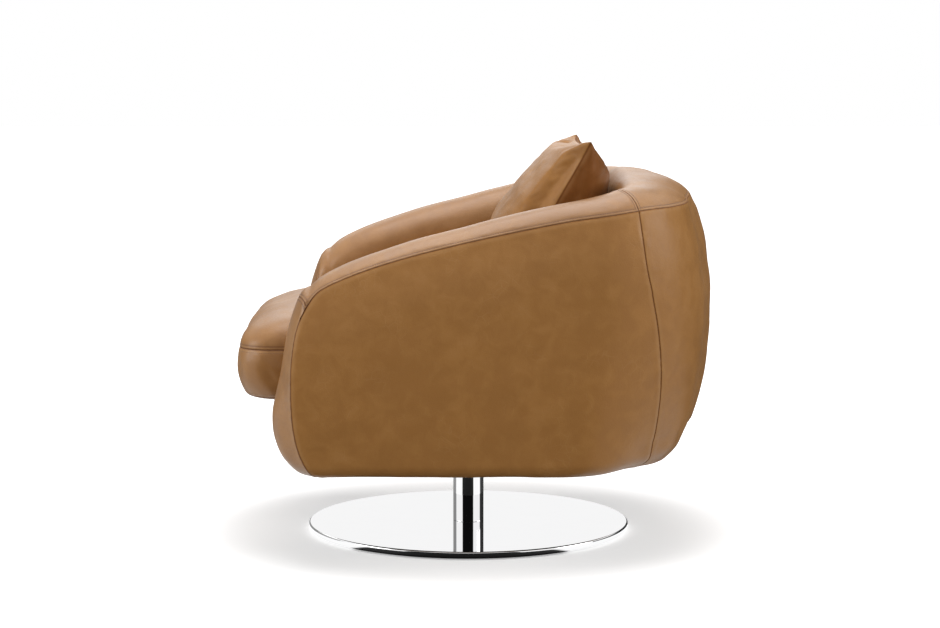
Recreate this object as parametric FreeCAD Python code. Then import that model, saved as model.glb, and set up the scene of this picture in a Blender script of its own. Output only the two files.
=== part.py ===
import FreeCAD, Part
import math
import os

# Leather swivel armchair, in millimetres.
# The origin is on the swivel axis at floor level. +Z is up, -Y is the front, +X is the sitter's left.

# Base disc and column
disc_diameter = 600.0
disc_thickness = 12.0
disc_edge_round = 3.5
felt_diameter = 572.0
felt_thickness = 3.0
column_diameter = 57.0
column_wall = 3.0
column_length = 130.0
plug_height = 24.0
plug_slip = 0.05
base_bolt_diameter = 16.0
base_bolt_head_diameter = 30.0
base_bolt_head_height = 7.0
base_bolt_length = 27.0
base_bolt_clearance = 0.2
bolt_socket_across = 10.0
bolt_socket_depth = 4.5
dowel_diameter = 6.0
dowel_length = 14.0
dowel_circle_diameter = 38.0

# Swivel
spindle_diameter = 30.0
spindle_bore_clearance = 0.06
bush_height = 22.0
bush_slip = 0.05
lower_bush_rise = 37.0
thrust_washer_thickness = 3.0
thrust_gap = 0.2
spindle_flange_diameter = 84.0
spindle_flange_thickness = 8.0
spindle_tail = 9.0
ring_diameter = 42.0
ring_thickness = 2.5
ring_groove_depth = 1.5
ring_gap = 0.3
mount_plate_side = 200.0
mount_plate_thickness = 6.0
mount_plate_corner = 12.0
mount_bolt_spacing = 150.0
mount_bolt_diameter = 8.0
mount_bolt_hole_clearance = 0.5
mount_bolt_head_across = 13.0
mount_bolt_head_height = 5.3
tee_nut_flange_diameter = 22.0
tee_nut_flange_thickness = 1.5
tee_nut_barrel_diameter = 10.0

# Plan of the upholstered body, measured on the middle line of its wall
arm_line_x = 345.0
back_line_y = 350.0
corner_radius = 170.0
arm_front_y = -275.0
nose_depth = 62.0

# Heights of the body
arm_front_height = 496.0
back_rim_height = 664.0
seam_drop_front = 20.0
seam_drop_back = 34.0
widest_drop_arm = 105.0
widest_drop_back = 196.0
low_turn_arm = 22.0
low_turn_back = 65.0
nose_height = 285.0

# Offsets of the wall's faces from its middle line
arm_outer_seam = 45.0
arm_outer_widest = 63.0
arm_outer_low = 37.0
arm_inner = 55.0
back_outer_seam = 59.0
back_outer_widest = 83.0
back_outer_low = 56.0
back_inner_top = 86.0
back_inner_bottom = 126.0
back_crest_inset = 60.0
inner_round_arm = 62.0
inner_round_back = 42.0
tuck_reach = 20.0
corner_pull = 26.0
panel_seam_turn = 37.0

# Leather and padding
leather_thickness = 1.5
padding_gap = 0.4
inner_leather_bottom = 255.0

# Wooden frame
board_thickness = 20.0
board_edge_gap = 3.0
board_front_step = 3.0
apron_y = -305.0
arm_panel_thickness = 18.0
arm_panel_padding = 46.0
back_panel_thickness = 18.0
back_panel_padding = 62.0
post_side = 42.0
post_inset = 27.0
post_padding = 70.0
rail_thickness = 22.0
side_rail_height = 85.0
rail_side_gap = 2.5
rear_rail_y = 203.0
rear_rail_half_length = 230.0
strap_width = 60.0
strap_thickness = 2.0
cross_strap_count = 5
long_strap_count = 5
deck_pad_thickness = 8.0
deck_cloth_thickness = 1.0
dust_cover_thickness = 1.0
layer_gap = 0.3
screw_diameter = 5.0
screw_head_diameter = 9.0
screw_head_height = 3.0
screw_length = 55.0
screw_hole_clearance = 0.1

# Seat cushion
cushion_half_width = 287.0
cushion_front_y = -413.0
cushion_back_y = 231.0
cushion_back_corner = 120.0
cushion_front_corner = 58.0
cushion_border_low = 291.0
cushion_border_high = 375.0
cushion_crown_height = 452.0

# Pillow
pillow_half_width = 240.0
pillow_half_height = 158.0
pillow_front_fullness = 73.0
pillow_back_fullness = 100.0
pillow_lean = 29.0
pillow_foot_y = 58.0
pillow_seat_gap = 0.6

# Heights that follow from the stack
disc_bottom = felt_thickness
disc_top = disc_bottom + disc_thickness
column_top = disc_top + column_length
washer_top = column_top + thrust_washer_thickness
flange_bottom = washer_top + thrust_gap
flange_top = flange_bottom + spindle_flange_thickness
plate_top = flange_top + mount_plate_thickness
board_bottom = plate_top
board_top = board_bottom + board_thickness
skin_bottom = board_bottom - layer_gap - leather_thickness
side_rail_top = board_top + side_rail_height
end_rail_top = side_rail_top + strap_thickness
deck_bottom = end_rail_top + strap_thickness + layer_gap
deck_top = deck_bottom + deck_pad_thickness
cloth_bottom = deck_top + layer_gap
cloth_top = cloth_bottom + deck_cloth_thickness
cushion_bottom = cloth_top + layer_gap

corner_x = arm_line_x - corner_radius
corner_y = back_line_y - corner_radius
column_bore = column_diameter - 2 * column_wall
spindle_bore = spindle_diameter + 2 * spindle_bore_clearance
padding_inset = leather_thickness + padding_gap
arm_inner_face = arm_line_x - arm_inner

parts = {}


def vec(x, y, z):
    return FreeCAD.Vector(x, y, z)


def line(start, end):
    return Part.makeLine(start, end)


def arc(start, middle, end):
    return Part.Arc(start, middle, end).toShape()


def disc(diameter, bottom, height, x=0.0, y=0.0):
    return Part.makeCylinder(diameter / 2, height, vec(x, y, bottom))


def box(low, high):
    size = [high[k] - low[k] for k in range(3)]
    return Part.makeBox(size[0], size[1], size[2], vec(low[0], low[1], low[2]))


def hexagon(across, bottom, height, x=0.0, y=0.0):
    radius = across / math.sqrt(3)
    corners = []
    for k in range(7):
        angle = math.radians(60 * k)
        corners.append(vec(x + radius * math.cos(angle), y + radius * math.sin(angle), bottom))
    return Part.Face(Part.makePolygon(corners)).extrude(vec(0, 0, height))


def mirrored(shape):
    return shape.mirror(vec(0, 0, 0), vec(1, 0, 0))


def blend(first, second, share):
    return first + (second - first) * share


def smooth_along(points, value):
    """Smooth rise through a short list of (place, amount) pairs that never turns back."""
    if value <= points[0][0]:
        return points[0][1]
    if value >= points[-1][0]:
        return points[-1][1]
    count = len(points)
    slopes = []
    for k in range(count - 1):
        slopes.append((points[k + 1][1] - points[k][1]) / (points[k + 1][0] - points[k][0]))
    leans = [slopes[0]]
    for k in range(1, count - 1):
        if slopes[k - 1] * slopes[k] <= 0:
            leans.append(0.0)
        else:
            leans.append(2 / (1 / slopes[k - 1] + 1 / slopes[k]))
    leans.append(slopes[-1])
    k = 0
    while value > points[k + 1][0]:
        k += 1
    step = points[k + 1][0] - points[k][0]
    t = (value - points[k][0]) / step
    start = (2 * t ** 3 - 3 * t ** 2 + 1) * points[k][1] + (t ** 3 - 2 * t ** 2 + t) * step * leans[k]
    end = (3 * t ** 2 - 2 * t ** 3) * points[k + 1][1] + (t ** 3 - t ** 2) * step * leans[k + 1]
    return start + end


# Rise of the arm's top line from its front to the back rim, as shares of the length and of the height
crest_rise = [(0.0, 0.0), (0.03, 0.1), (0.072, 0.187), (0.183, 0.355), (0.322, 0.517),
              (0.598, 0.773), (0.805, 0.93), (0.92, 0.994), (1.0, 1.0)]


def length_share(y):
    share = (y - arm_front_y) / (back_line_y - arm_front_y)
    return min(1.0, max(0.0, share))


def crest_height(y):
    rise = smooth_along(crest_rise, length_share(y))
    return arm_front_height + (back_rim_height - arm_front_height) * rise


def seam_height(y):
    return crest_height(y) - blend(seam_drop_front, seam_drop_back, length_share(y))


def bulge(widest, level, offset, height):
    """Middle of the arc that leaves the widest point upright and ends at an offset and a height."""
    lean = widest - offset
    rise = height - level
    radius = (lean * lean + rise * rise) / (2 * lean)
    turn = 0.5 * math.asin(max(-1.0, min(1.0, rise / radius)))
    return (widest - radius + radius * math.cos(turn), level + radius * math.sin(turn))


def profile(share, y, turn_in, inset):
    """Ends and middles of the arcs of the wall's section, as (offset, height), from inside low round."""
    crest = crest_height(y)
    seam = seam_height(y)
    low = skin_bottom + blend(low_turn_arm, low_turn_back, share)
    widest_level = seam - blend(widest_drop_arm, widest_drop_back, share)
    outer_low = blend(arm_outer_low, back_outer_low, share) - turn_in
    outer_seam = blend(arm_outer_seam, back_outer_seam, share)
    widest = blend(arm_outer_widest, back_outer_widest, share)
    inner_top = -blend(arm_inner, back_inner_top, share)
    inner_low = -blend(arm_inner, back_inner_bottom, share)
    crest_at = -blend(0.0, back_crest_inset, share)
    inner_end = crest - blend(inner_round_arm, inner_round_back, share)
    tuck = -tuck_reach - turn_in
    foot = skin_bottom + inset
    widest_in = widest - inset
    low_end = (outer_low - 0.92 * inset, low + 0.38 * inset)
    seam_end = (outer_seam - 0.8 * inset, seam - 0.6 * inset)
    rim_mid = (blend(outer_seam, crest_at, 0.45), blend(seam, crest, 0.74))
    turn_start = blend(tuck, outer_low, 0.35)
    fullness = blend(0.707, 0.57, share)
    return [
        (inner_low + inset, foot),
        (tuck, foot),
        (turn_start, foot),
        (blend(turn_start, low_end[0], fullness), blend(low_end[1], foot, fullness)),
        low_end,
        bulge(widest_in, widest_level, low_end[0], low_end[1]),
        (widest_in, widest_level),
        bulge(widest_in, widest_level, seam_end[0], seam_end[1]),
        seam_end,
        (rim_mid[0] - 0.3 * inset, rim_mid[1] - 0.95 * inset),
        (crest_at, crest - inset),
        (blend(crest_at, inner_top, 0.78) + 0.62 * inset, blend(crest, inner_end, 0.34) - 0.78 * inset),
        (inner_top + inset, inner_end)]


def section(place, outward, points):
    """Closed wire of the wall's section, standing on the middle line at a place."""
    spots = []
    for offset, height in points:
        spots.append(vec(place[0] + outward[0] * offset, place[1] + outward[1] * offset, height))
    edges = [
        line(spots[0], spots[1]),
        line(spots[1], spots[2]),
        arc(spots[2], spots[3], spots[4]),
        arc(spots[4], spots[5], spots[6]),
        arc(spots[6], spots[7], spots[8]),
        arc(spots[8], spots[9], spots[10]),
        arc(spots[10], spots[11], spots[12]),
        line(spots[12], spots[0])]
    return Part.Wire(edges)


def nose_section(turn, inset):
    """Section of the arm's rounded front end: turn 0 is where it starts and 90 is its tip."""
    angle = math.radians(turn)
    left = math.cos(angle)
    points = profile(0.0, arm_front_y, 0.0, inset)
    shaped = []
    for offset, height in points:
        kept = left ** 1.7 if height > nose_height else left ** 0.85
        shaped.append((offset * left ** 0.55, nose_height + (height - nose_height) * kept))
    y = arm_front_y - (nose_depth - inset) * math.sin(angle)
    return section((arm_line_x, y), (1, 0), shaped)


def straight_section(y, inset):
    return section((arm_line_x, y), (1, 0), profile(0.0, y, 0.0, inset))


def corner_section(turn, side, inset):
    angle = math.radians(turn)
    share = math.sin(angle) ** 2
    turn_in = corner_pull * math.sin(2 * angle) ** 2
    y = corner_y + corner_radius * math.sin(angle)
    x = corner_x + corner_radius * math.cos(angle)
    points = profile(share, y, turn_in, inset)
    return section((side * x, y), (side * math.cos(angle), math.sin(angle)), points)


nose_turns = (82, 73, 63, 53, 42, 31, 20, 10)
straight_steps = (0.0, 0.04, 0.09, 0.16, 0.26, 0.4, 0.56, 0.74, 0.88, 1.0)


turns_before_seam = (0.2, 0.4, 0.6, 0.8, 1.0)
turns_after_seam = (0.0, 0.125, 0.25, 0.375, 0.5, 0.625, 0.75, 0.875, 1.0)


def arm_loft(inset):
    """Wall from the tip of the arm to the seam in the corner."""
    sections = [nose_section(turn, inset) for turn in nose_turns]
    for step in straight_steps:
        sections.append(straight_section(blend(arm_front_y, corner_y, step), inset))
    for step in turns_before_seam:
        sections.append(corner_section(panel_seam_turn * step, 1, inset))
    return loft(sections)


def back_loft(inset):
    """Wall from the seam in one corner, round the back, to the seam in the other."""
    turns = [blend(panel_seam_turn, 90.0, step) for step in turns_after_seam]
    sections = [corner_section(turn, 1, inset) for turn in turns]
    sections += [corner_section(turn, -1, inset) for turn in reversed(turns)]
    return loft(sections)


def loft(sections, ruled=True):
    return Part.makeLoft(sections, True, ruled)


def plan_prism(offset, front_y, bottom, top):
    """Upright solid inside the U-shaped line at an offset from the wall's middle line."""
    radius = corner_radius + offset
    x = arm_line_x + offset
    y = back_line_y + offset
    slant = radius * math.sqrt(0.5)
    right_mid = vec(corner_x + slant, corner_y + slant, bottom)
    left_mid = vec(-corner_x - slant, corner_y + slant, bottom)
    edges = [
        line(vec(-x, front_y, bottom), vec(x, front_y, bottom)),
        line(vec(x, front_y, bottom), vec(x, corner_y, bottom)),
        arc(vec(x, corner_y, bottom), right_mid, vec(corner_x, y, bottom)),
        line(vec(corner_x, y, bottom), vec(-corner_x, y, bottom)),
        arc(vec(-corner_x, y, bottom), left_mid, vec(-x, corner_y, bottom)),
        line(vec(-x, corner_y, bottom), vec(-x, front_y, bottom))]
    return Part.Face(Part.Wire(edges)).extrude(vec(0, 0, top - bottom))


far = 2000.0


def above_seam():
    """Everything above the top seam that runs round the outside of the body."""
    spots = []
    for share in (0.0, 0.06, 0.16, 0.32, 0.55, 0.75, 0.9, 1.0):
        y = blend(arm_front_y, back_line_y, share)
        spots.append(vec(-far, y, seam_height(y)))
    curve = Part.BSplineCurve()
    curve.interpolate(spots)
    first = spots[0]
    last = spots[-1]
    lead = vec(-far, first.y - 0.2 * nose_depth, first.z - 0.35 * nose_depth)
    start = vec(-far, lead.y - nose_depth, lead.z + 2 * nose_depth)
    end = vec(-far, last.y + far / 4, last.z)
    edges = [
        line(start, lead),
        line(lead, first),
        curve.toShape(),
        line(last, end),
        line(end, vec(-far, end.y, far)),
        line(vec(-far, end.y, far), vec(-far, start.y, far)),
        line(vec(-far, start.y, far), start)]
    return Part.Face(Part.Wire(edges)).extrude(vec(2 * far, 0, 0))


def before_front_seam():
    """Everything forward of the seam between the arm's side and its front band."""
    top = seam_height(arm_front_y) - 0.35 * nose_depth
    low = skin_bottom
    y = arm_front_y - 0.2 * nose_depth
    bow = arm_front_y - 0.52 * nose_depth
    crown = vec(-far, y - nose_depth, top + 2 * nose_depth)
    edges = [
        arc(vec(-far, arm_front_y, low), vec(-far, bow, blend(low, top, 0.52)), vec(-far, y, top)),
        line(vec(-far, y, top), crown),
        line(crown, vec(-far, y - far / 2, crown.z)),
        line(vec(-far, y - far / 2, crown.z), vec(-far, y - far / 2, -far)),
        line(vec(-far, y - far / 2, -far), vec(-far, arm_front_y, -far)),
        line(vec(-far, arm_front_y, -far), vec(-far, arm_front_y, low))]
    return Part.Face(Part.Wire(edges)).extrude(vec(2 * far, 0, 0))


# Wooden frame under the padding
board_front_y = arm_front_y + board_front_step
deck_half_width = arm_inner_face - rail_side_gap
front_rail_back_y = apron_y + rail_thickness
rear_rail_back_y = rear_rail_y + rail_thickness


def board_wire(offsets, front_y, level):
    """Outline of the base board from its offsets at the arm, the corner and the back."""
    arm_offset, corner_offset, back_offset = offsets
    x = arm_line_x + arm_offset
    y = back_line_y + back_offset
    slant = (corner_radius + corner_offset) * math.sqrt(0.5)
    right_mid = vec(corner_x + slant, corner_y + slant, level)
    left_mid = vec(-corner_x - slant, corner_y + slant, level)
    return Part.Wire([
        line(vec(-x, front_y, level), vec(x, front_y, level)),
        line(vec(x, front_y, level), vec(x, corner_y, level)),
        arc(vec(x, corner_y, level), right_mid, vec(corner_x, y, level)),
        line(vec(corner_x, y, level), vec(-corner_x, y, level)),
        arc(vec(-corner_x, y, level), left_mid, vec(-x, corner_y, level)),
        line(vec(-x, corner_y, level), vec(-x, front_y, level))])


def screw(x, y):
    head = Part.makeCone(screw_head_diameter / 2, screw_diameter / 2, screw_head_height,
                         vec(x, y, board_bottom + 0.2))
    shank = disc(screw_diameter, board_bottom + 0.2 + screw_head_height,
                 screw_length - screw_head_height, x, y)
    return head.fuse(shank).removeSplitter()


def screw_hole(x, y):
    grown = screw_hole_clearance
    head = Part.makeCone(screw_head_diameter / 2 + grown, screw_diameter / 2 + grown, screw_head_height,
                         vec(x, y, board_bottom + 0.2))
    mouth = disc(screw_head_diameter + 2 * grown, board_bottom - 1, 1.2, x, y)
    shank = disc(screw_diameter + 2 * grown, board_bottom, screw_length + 1, x, y)
    return head.fuse(mouth).fuse(shank)


def screw_places():
    places = []
    for y in (blend(arm_front_y, corner_y, 0.15), blend(arm_front_y, corner_y, 0.8)):
        places.append((arm_line_x, y))
        places.append((-arm_line_x, y))
    for x in (-0.8 * corner_x, 0.0, 0.8 * corner_x):
        places.append((x, back_line_y))
    return places


def post_box(side):
    reach = (corner_radius - post_inset) * math.sqrt(0.5)
    x = side * (corner_x + reach)
    y = corner_y + reach
    half = post_side / 2
    top = crest_height(y) - post_padding
    return box((x - half, y - half, board_top), (x + half, y + half, top))


def arm_panel_shape():
    half = arm_panel_thickness / 2
    front = board_front_y + board_edge_gap
    rear = corner_y
    outline = [vec(arm_line_x - half, front, board_top), vec(arm_line_x - half, rear, board_top)]
    for share in (1.0, 0.6, 0.25, 0.08, 0.0):
        y = blend(front, rear, share)
        outline.append(vec(arm_line_x - half, y, crest_height(y) - arm_panel_padding))
    outline.append(outline[0])
    return Part.Face(Part.makePolygon(outline)).extrude(vec(arm_panel_thickness, 0, 0))


def back_panel_shape():
    half = back_panel_thickness / 2
    return box((-corner_x, back_line_y - half, board_top),
               (corner_x, back_line_y + half, back_rim_height - back_panel_padding))


def make_frame():
    low = -board_edge_gap
    turned = corner_pull
    bottom = board_wire((low, low - turned, low), board_front_y, board_bottom)
    top_arm = 0.86 * arm_outer_low - board_edge_gap
    top_back = 0.46 * back_outer_low - board_edge_gap
    top_corner = 0.6 * blend(arm_outer_low, back_outer_low, 0.5) - turned - board_edge_gap
    top = board_wire((top_arm, top_corner, top_back), board_front_y, board_top)
    board = Part.makeLoft([bottom, top], True, True)
    tongue = box((-deck_half_width, apron_y, board_bottom), (deck_half_width, board_front_y + 1, board_top))
    board = board.fuse(tongue).removeSplitter()

    bolts = Part.makeCompound([screw(x, y) for x, y in screw_places()])
    holes = Part.makeCompound([screw_hole(x, y) for x, y in screw_places()])
    board = board.cut(holes)
    for sx in (-1, 1):
        for sy in (-1, 1):
            x = sx * mount_bolt_spacing / 2
            y = sy * mount_bolt_spacing / 2
            hole = tee_nut_barrel_diameter + 2 * mount_bolt_hole_clearance
            board = board.cut(disc(hole, board_bottom - 1, board_thickness + 2, x, y))
    parts["base_board"] = board
    parts["arm_panel_left"] = arm_panel_shape().cut(holes)
    parts["arm_panel_right"] = mirrored(parts["arm_panel_left"])
    parts["back_panel"] = back_panel_shape().cut(holes)
    parts["frame_screws"] = bolts
    parts["corner_post_left"] = post_box(1)
    parts["corner_post_right"] = post_box(-1)
    parts["side_rail_left"] = box((deck_half_width - rail_thickness, front_rail_back_y, board_top),
                                  (deck_half_width, corner_y, side_rail_top))
    parts["side_rail_right"] = mirrored(parts["side_rail_left"])
    parts["front_rail"] = box((-deck_half_width, apron_y, board_top),
                              (deck_half_width, front_rail_back_y, end_rail_top))
    parts["rear_rail"] = box((-rear_rail_half_length, rear_rail_y, board_top),
                             (rear_rail_half_length, rear_rail_back_y, end_rail_top))


def rounded_plan(half_width, front, back, front_corner, back_corner, level):
    """Closed outline with rounded corners: lines and quarter arcs."""
    tip = 1 - math.sqrt(0.5)
    w = half_width
    f = front_corner
    b = back_corner
    return Part.Wire([
        line(vec(-w + f, front, level), vec(w - f, front, level)),
        arc(vec(w - f, front, level), vec(w - tip * f, front + tip * f, level), vec(w, front + f, level)),
        line(vec(w, front + f, level), vec(w, back - b, level)),
        arc(vec(w, back - b, level), vec(w - tip * b, back - tip * b, level), vec(w - b, back, level)),
        line(vec(w - b, back, level), vec(-w + b, back, level)),
        arc(vec(-w + b, back, level), vec(-w + tip * b, back - tip * b, level), vec(-w, back - b, level)),
        line(vec(-w, back - b, level), vec(-w, front + f, level)),
        arc(vec(-w, front + f, level), vec(-w + tip * f, front + tip * f, level), vec(-w + f, front, level))])


def make_deck():
    straps = []
    first = front_rail_back_y + strap_width
    last = corner_y - strap_width
    for k in range(cross_strap_count):
        y = blend(first, last, k / (cross_strap_count - 1))
        straps.append(box((-deck_half_width, y - strap_width / 2, side_rail_top),
                          (deck_half_width, y + strap_width / 2, side_rail_top + strap_thickness)))
    parts["cross_straps"] = Part.makeCompound(straps)
    straps = []
    reach = rear_rail_half_length - strap_width / 2
    for k in range(long_strap_count):
        x = blend(-reach, reach, k / (long_strap_count - 1))
        straps.append(box((x - strap_width / 2, apron_y, end_rail_top),
                          (x + strap_width / 2, rear_rail_back_y, end_rail_top + strap_thickness)))
    parts["long_straps"] = Part.makeCompound(straps)
    pad = rounded_plan(deck_half_width, apron_y, rear_rail_back_y, 4.0, cushion_back_corner, deck_bottom)
    parts["deck_pad"] = Part.Face(pad).extrude(vec(0, 0, deck_pad_thickness))
    cloth = rounded_plan(deck_half_width, apron_y, rear_rail_back_y, 4.0, cushion_back_corner, cloth_bottom)
    parts["deck_cloth"] = Part.Face(cloth).extrude(vec(0, 0, deck_cloth_thickness))
    apron_back = apron_y - layer_gap
    parts["front_apron"] = box((-deck_half_width, apron_back - leather_thickness, skin_bottom),
                               (deck_half_width, apron_back, deck_top))
    cover_bottom = board_bottom - layer_gap - dust_cover_thickness
    cover_offset = -tuck_reach - corner_pull - 2 * layer_gap
    cover = plan_prism(cover_offset, board_front_y, cover_bottom, board_bottom - layer_gap)
    tongue = box((-deck_half_width, apron_y, cover_bottom),
                 (deck_half_width, board_front_y + 1, board_bottom - layer_gap))
    cover = cover.fuse(tongue).removeSplitter()
    opening = mount_plate_side / 2 + layer_gap
    window = box((-opening, -opening, cover_bottom - 1), (opening, opening, board_bottom))
    parts["dust_cover"] = cover.cut(window)


# Base, column and swivel
def make_base():
    centre = vec(0, 0, 0)
    plate = disc(disc_diameter, disc_bottom, disc_thickness)
    plate = plate.makeFillet(disc_edge_round, [edge for edge in plate.Edges if len(edge.Vertexes) == 1])
    head = base_bolt_head_diameter + 2 * base_bolt_clearance
    head_top = disc_bottom + base_bolt_clearance + base_bolt_head_height
    shank = base_bolt_diameter + 2 * base_bolt_clearance
    plate = plate.cut(disc(head, disc_bottom - 1, head_top - disc_bottom + 1))
    plate = plate.cut(disc(shank, disc_bottom - 1, disc_thickness + 2))
    plug = disc(column_bore - 2 * plug_slip, disc_top, plug_height)
    plug = plug.cut(disc(shank, disc_top - 1, plug_height + 2))
    pins = []
    pin_low = disc_top - dowel_length / 2
    for side in (-1, 1):
        x = side * dowel_circle_diameter / 2
        hole = disc(dowel_diameter + 0.1, pin_low - 0.2, dowel_length + 0.4, x)
        plate = plate.cut(hole)
        plug = plug.cut(hole)
        pins.append(disc(dowel_diameter, pin_low, dowel_length, x))
    parts["base_disc"] = plate
    parts["column_plug"] = plug
    parts["base_dowels"] = Part.makeCompound(pins)
    bolt_low = disc_bottom + base_bolt_clearance
    bolt = disc(base_bolt_head_diameter, bolt_low, base_bolt_head_height)
    bolt = bolt.fuse(disc(base_bolt_diameter, bolt_low, base_bolt_head_height + base_bolt_length))
    bolt = bolt.cut(hexagon(bolt_socket_across, bolt_low - 1, bolt_socket_depth + 1))
    parts["base_bolt"] = bolt.removeSplitter()
    parts["floor_felt"] = disc(felt_diameter, 0.0, felt_thickness)
    tube = disc(column_diameter, disc_top, column_length)
    parts["column_tube"] = tube.cut(disc(column_bore, disc_top - 1, column_length + 2))

    bush_outer = column_bore - 2 * bush_slip
    lower_bottom = disc_top + lower_bush_rise
    for name, bottom in (("lower_bush", lower_bottom), ("upper_bush", column_top - bush_height)):
        ring = disc(bush_outer, bottom, bush_height)
        parts[name] = ring.cut(disc(spindle_bore, bottom - 1, bush_height + 2))
    washer = disc(column_diameter, column_top, thrust_washer_thickness)
    washer_bore = spindle_bore + 2 * thrust_gap
    parts["thrust_washer"] = washer.cut(disc(washer_bore, column_top - 1, thrust_washer_thickness + 2))

    ring_top = lower_bottom - ring_gap
    ring_bottom = ring_top - ring_thickness
    spindle_bottom = ring_bottom - spindle_tail
    spindle = disc(spindle_diameter, spindle_bottom, plate_top - spindle_bottom)
    spindle = spindle.fuse(disc(spindle_flange_diameter, flange_bottom, spindle_flange_thickness))
    groove_diameter = spindle_diameter - 2 * ring_groove_depth
    groove = disc(spindle_diameter + 2, ring_bottom - 0.1, ring_thickness + 0.2)
    groove = groove.cut(disc(groove_diameter, ring_bottom - 1, ring_thickness + 2))
    parts["spindle"] = spindle.cut(groove).removeSplitter()
    ring = disc(ring_diameter, ring_bottom, ring_thickness)
    ring = ring.cut(disc(groove_diameter + 0.2, ring_bottom - 1, ring_thickness + 2))
    slot = box((-3.0, 0.0, ring_bottom - 1), (3.0, ring_diameter, ring_top + 1))
    parts["retaining_ring"] = ring.cut(slot)

    half = mount_plate_side / 2
    plate = Part.Face(rounded_plan(half, -half, half, mount_plate_corner, mount_plate_corner, flange_top))
    plate = plate.extrude(vec(0, 0, mount_plate_thickness))
    plate = plate.cut(disc(spindle_diameter + 0.2, flange_top - 1, mount_plate_thickness + 2))
    bolts = []
    nuts = []
    for sx in (-1, 1):
        for sy in (-1, 1):
            x = sx * mount_bolt_spacing / 2
            y = sy * mount_bolt_spacing / 2
            hole = mount_bolt_diameter + 2 * mount_bolt_hole_clearance
            plate = plate.cut(disc(hole, flange_top - 1, mount_plate_thickness + 2, x, y))
            head_low = flange_top - mount_bolt_head_height
            head = hexagon(mount_bolt_head_across, head_low, mount_bolt_head_height, x, y)
            shank = disc(mount_bolt_diameter, flange_top, board_top - flange_top, x, y)
            bolts.append(head.fuse(shank).removeSplitter())
            barrel = disc(tee_nut_barrel_diameter, board_bottom + 0.4 * board_thickness,
                          0.6 * board_thickness, x, y)
            flange = disc(tee_nut_flange_diameter, board_top, tee_nut_flange_thickness, x, y)
            bore = disc(mount_bolt_diameter + 0.2, board_bottom, board_thickness + 10, x, y)
            nuts.append(barrel.fuse(flange).cut(bore))
    parts["mount_plate"] = plate
    parts["mount_bolts"] = Part.makeCompound(bolts)
    parts["tee_nuts"] = Part.makeCompound(nuts)


# Upholstered body: leather panels and the foam behind them
def make_body():
    under = plan_prism(-tuck_reach - corner_pull, board_front_y - 2 * layer_gap, -far, inner_leather_bottom)
    band_side = plan_prism(-layer_gap, -far, skin_bottom + low_turn_back + 5, far)
    band_space = band_side.fuse(above_seam())
    front_space = before_front_seam()

    outer = arm_loft(0.0)
    inner = arm_loft(leather_thickness)
    skin = outer.cut(inner).cut(under)
    front = skin.common(front_space)
    rest = skin.cut(front_space)
    parts["arm_front_left"] = front
    parts["arm_side_left"] = rest.cut(band_space)
    parts["arm_band_left"] = rest.common(band_space)
    for name in ("arm_front", "arm_side", "arm_band"):
        parts[name + "_right"] = mirrored(parts[name + "_left"])

    outer = back_loft(0.0)
    inner = back_loft(leather_thickness)
    skin = outer.cut(inner).cut(under)
    parts["back_outside"] = skin.cut(band_space)
    parts["back_band"] = skin.common(band_space)

    below = box((-far, -far, -far), (far, far, board_top))
    foam = arm_loft(padding_inset).cut(below)
    foam = foam.cut(arm_panel_shape()).cut(parts["corner_post_left"])
    parts["arm_foam_left"] = foam
    parts["arm_foam_right"] = mirrored(foam)
    foam = back_loft(padding_inset).cut(below)
    foam = foam.cut(back_panel_shape()).cut(parts["corner_post_left"]).cut(parts["corner_post_right"])
    middle = box((-corner_x, -far, -far), (corner_x, far, far))
    left = box((corner_x, -far, -far), (far, far, far))
    parts["back_foam"] = foam.common(middle)
    parts["corner_foam_left"] = foam.common(left)
    parts["corner_foam_right"] = mirrored(parts["corner_foam_left"])


# Seat cushion: heights as shares between its seams, and how far each outline is drawn in
lower_form = [(0.0, 52.0), (0.15, 34.0), (0.5, 20.0), (1.0, 14.0)]
border_form = [(0.15, 6.5), (0.35, 1.0), (0.55, 0.0), (0.75, 2.5), (0.9, 7.5), (1.0, 14.0)]
crown_form = [(0.13, 11.5), (0.27, 14.0), (0.43, 22.0), (0.58, 34.0), (0.72, 50.0), (0.83, 69.0),
              (0.91, 92.0), (0.97, 120.0), (1.0, 155.0)]


def cushion_loft(inset):
    levels = []
    for share, drawn in lower_form:
        levels.append((blend(cushion_bottom + inset, cushion_border_low, share), drawn + inset))
    for share, drawn in border_form:
        levels.append((blend(cushion_border_low, cushion_border_high, share), drawn + inset))
    for share, drawn in crown_form:
        top = cushion_crown_height - inset
        levels.append((blend(cushion_border_high, top, share), drawn + inset * (1 - 0.9 * share)))
    wires = []
    for level, drawn in levels:
        wires.append(rounded_plan(cushion_half_width - drawn, cushion_front_y + drawn, cushion_back_y - drawn,
                                  cushion_front_corner + 0.35 * drawn, cushion_back_corner - 0.1 * drawn, level))
    return loft(wires)


def make_cushion():
    cover = cushion_loft(0.0).cut(cushion_loft(leather_thickness))
    parts["cushion_top"] = cover.common(box((-far, -far, cushion_border_high), (far, far, far)))
    parts["cushion_border"] = cover.common(box((-far, -far, cushion_border_low), (far, far, cushion_border_high)))
    parts["cushion_underside"] = cover.common(box((-far, -far, -far), (far, far, cushion_border_low)))
    parts["cushion_core"] = cushion_loft(padding_inset)


# Pillow: lens-shaped sections across its width, in a plane that leans back
pillow_steps = [(-1.0, 0.07), (-0.94, 0.38), (-0.82, 0.65), (-0.62, 0.86), (-0.35, 0.97), (0.0, 1.0),
                (0.35, 0.97), (0.62, 0.86), (0.82, 0.65), (0.94, 0.38), (1.0, 0.07)]


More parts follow.
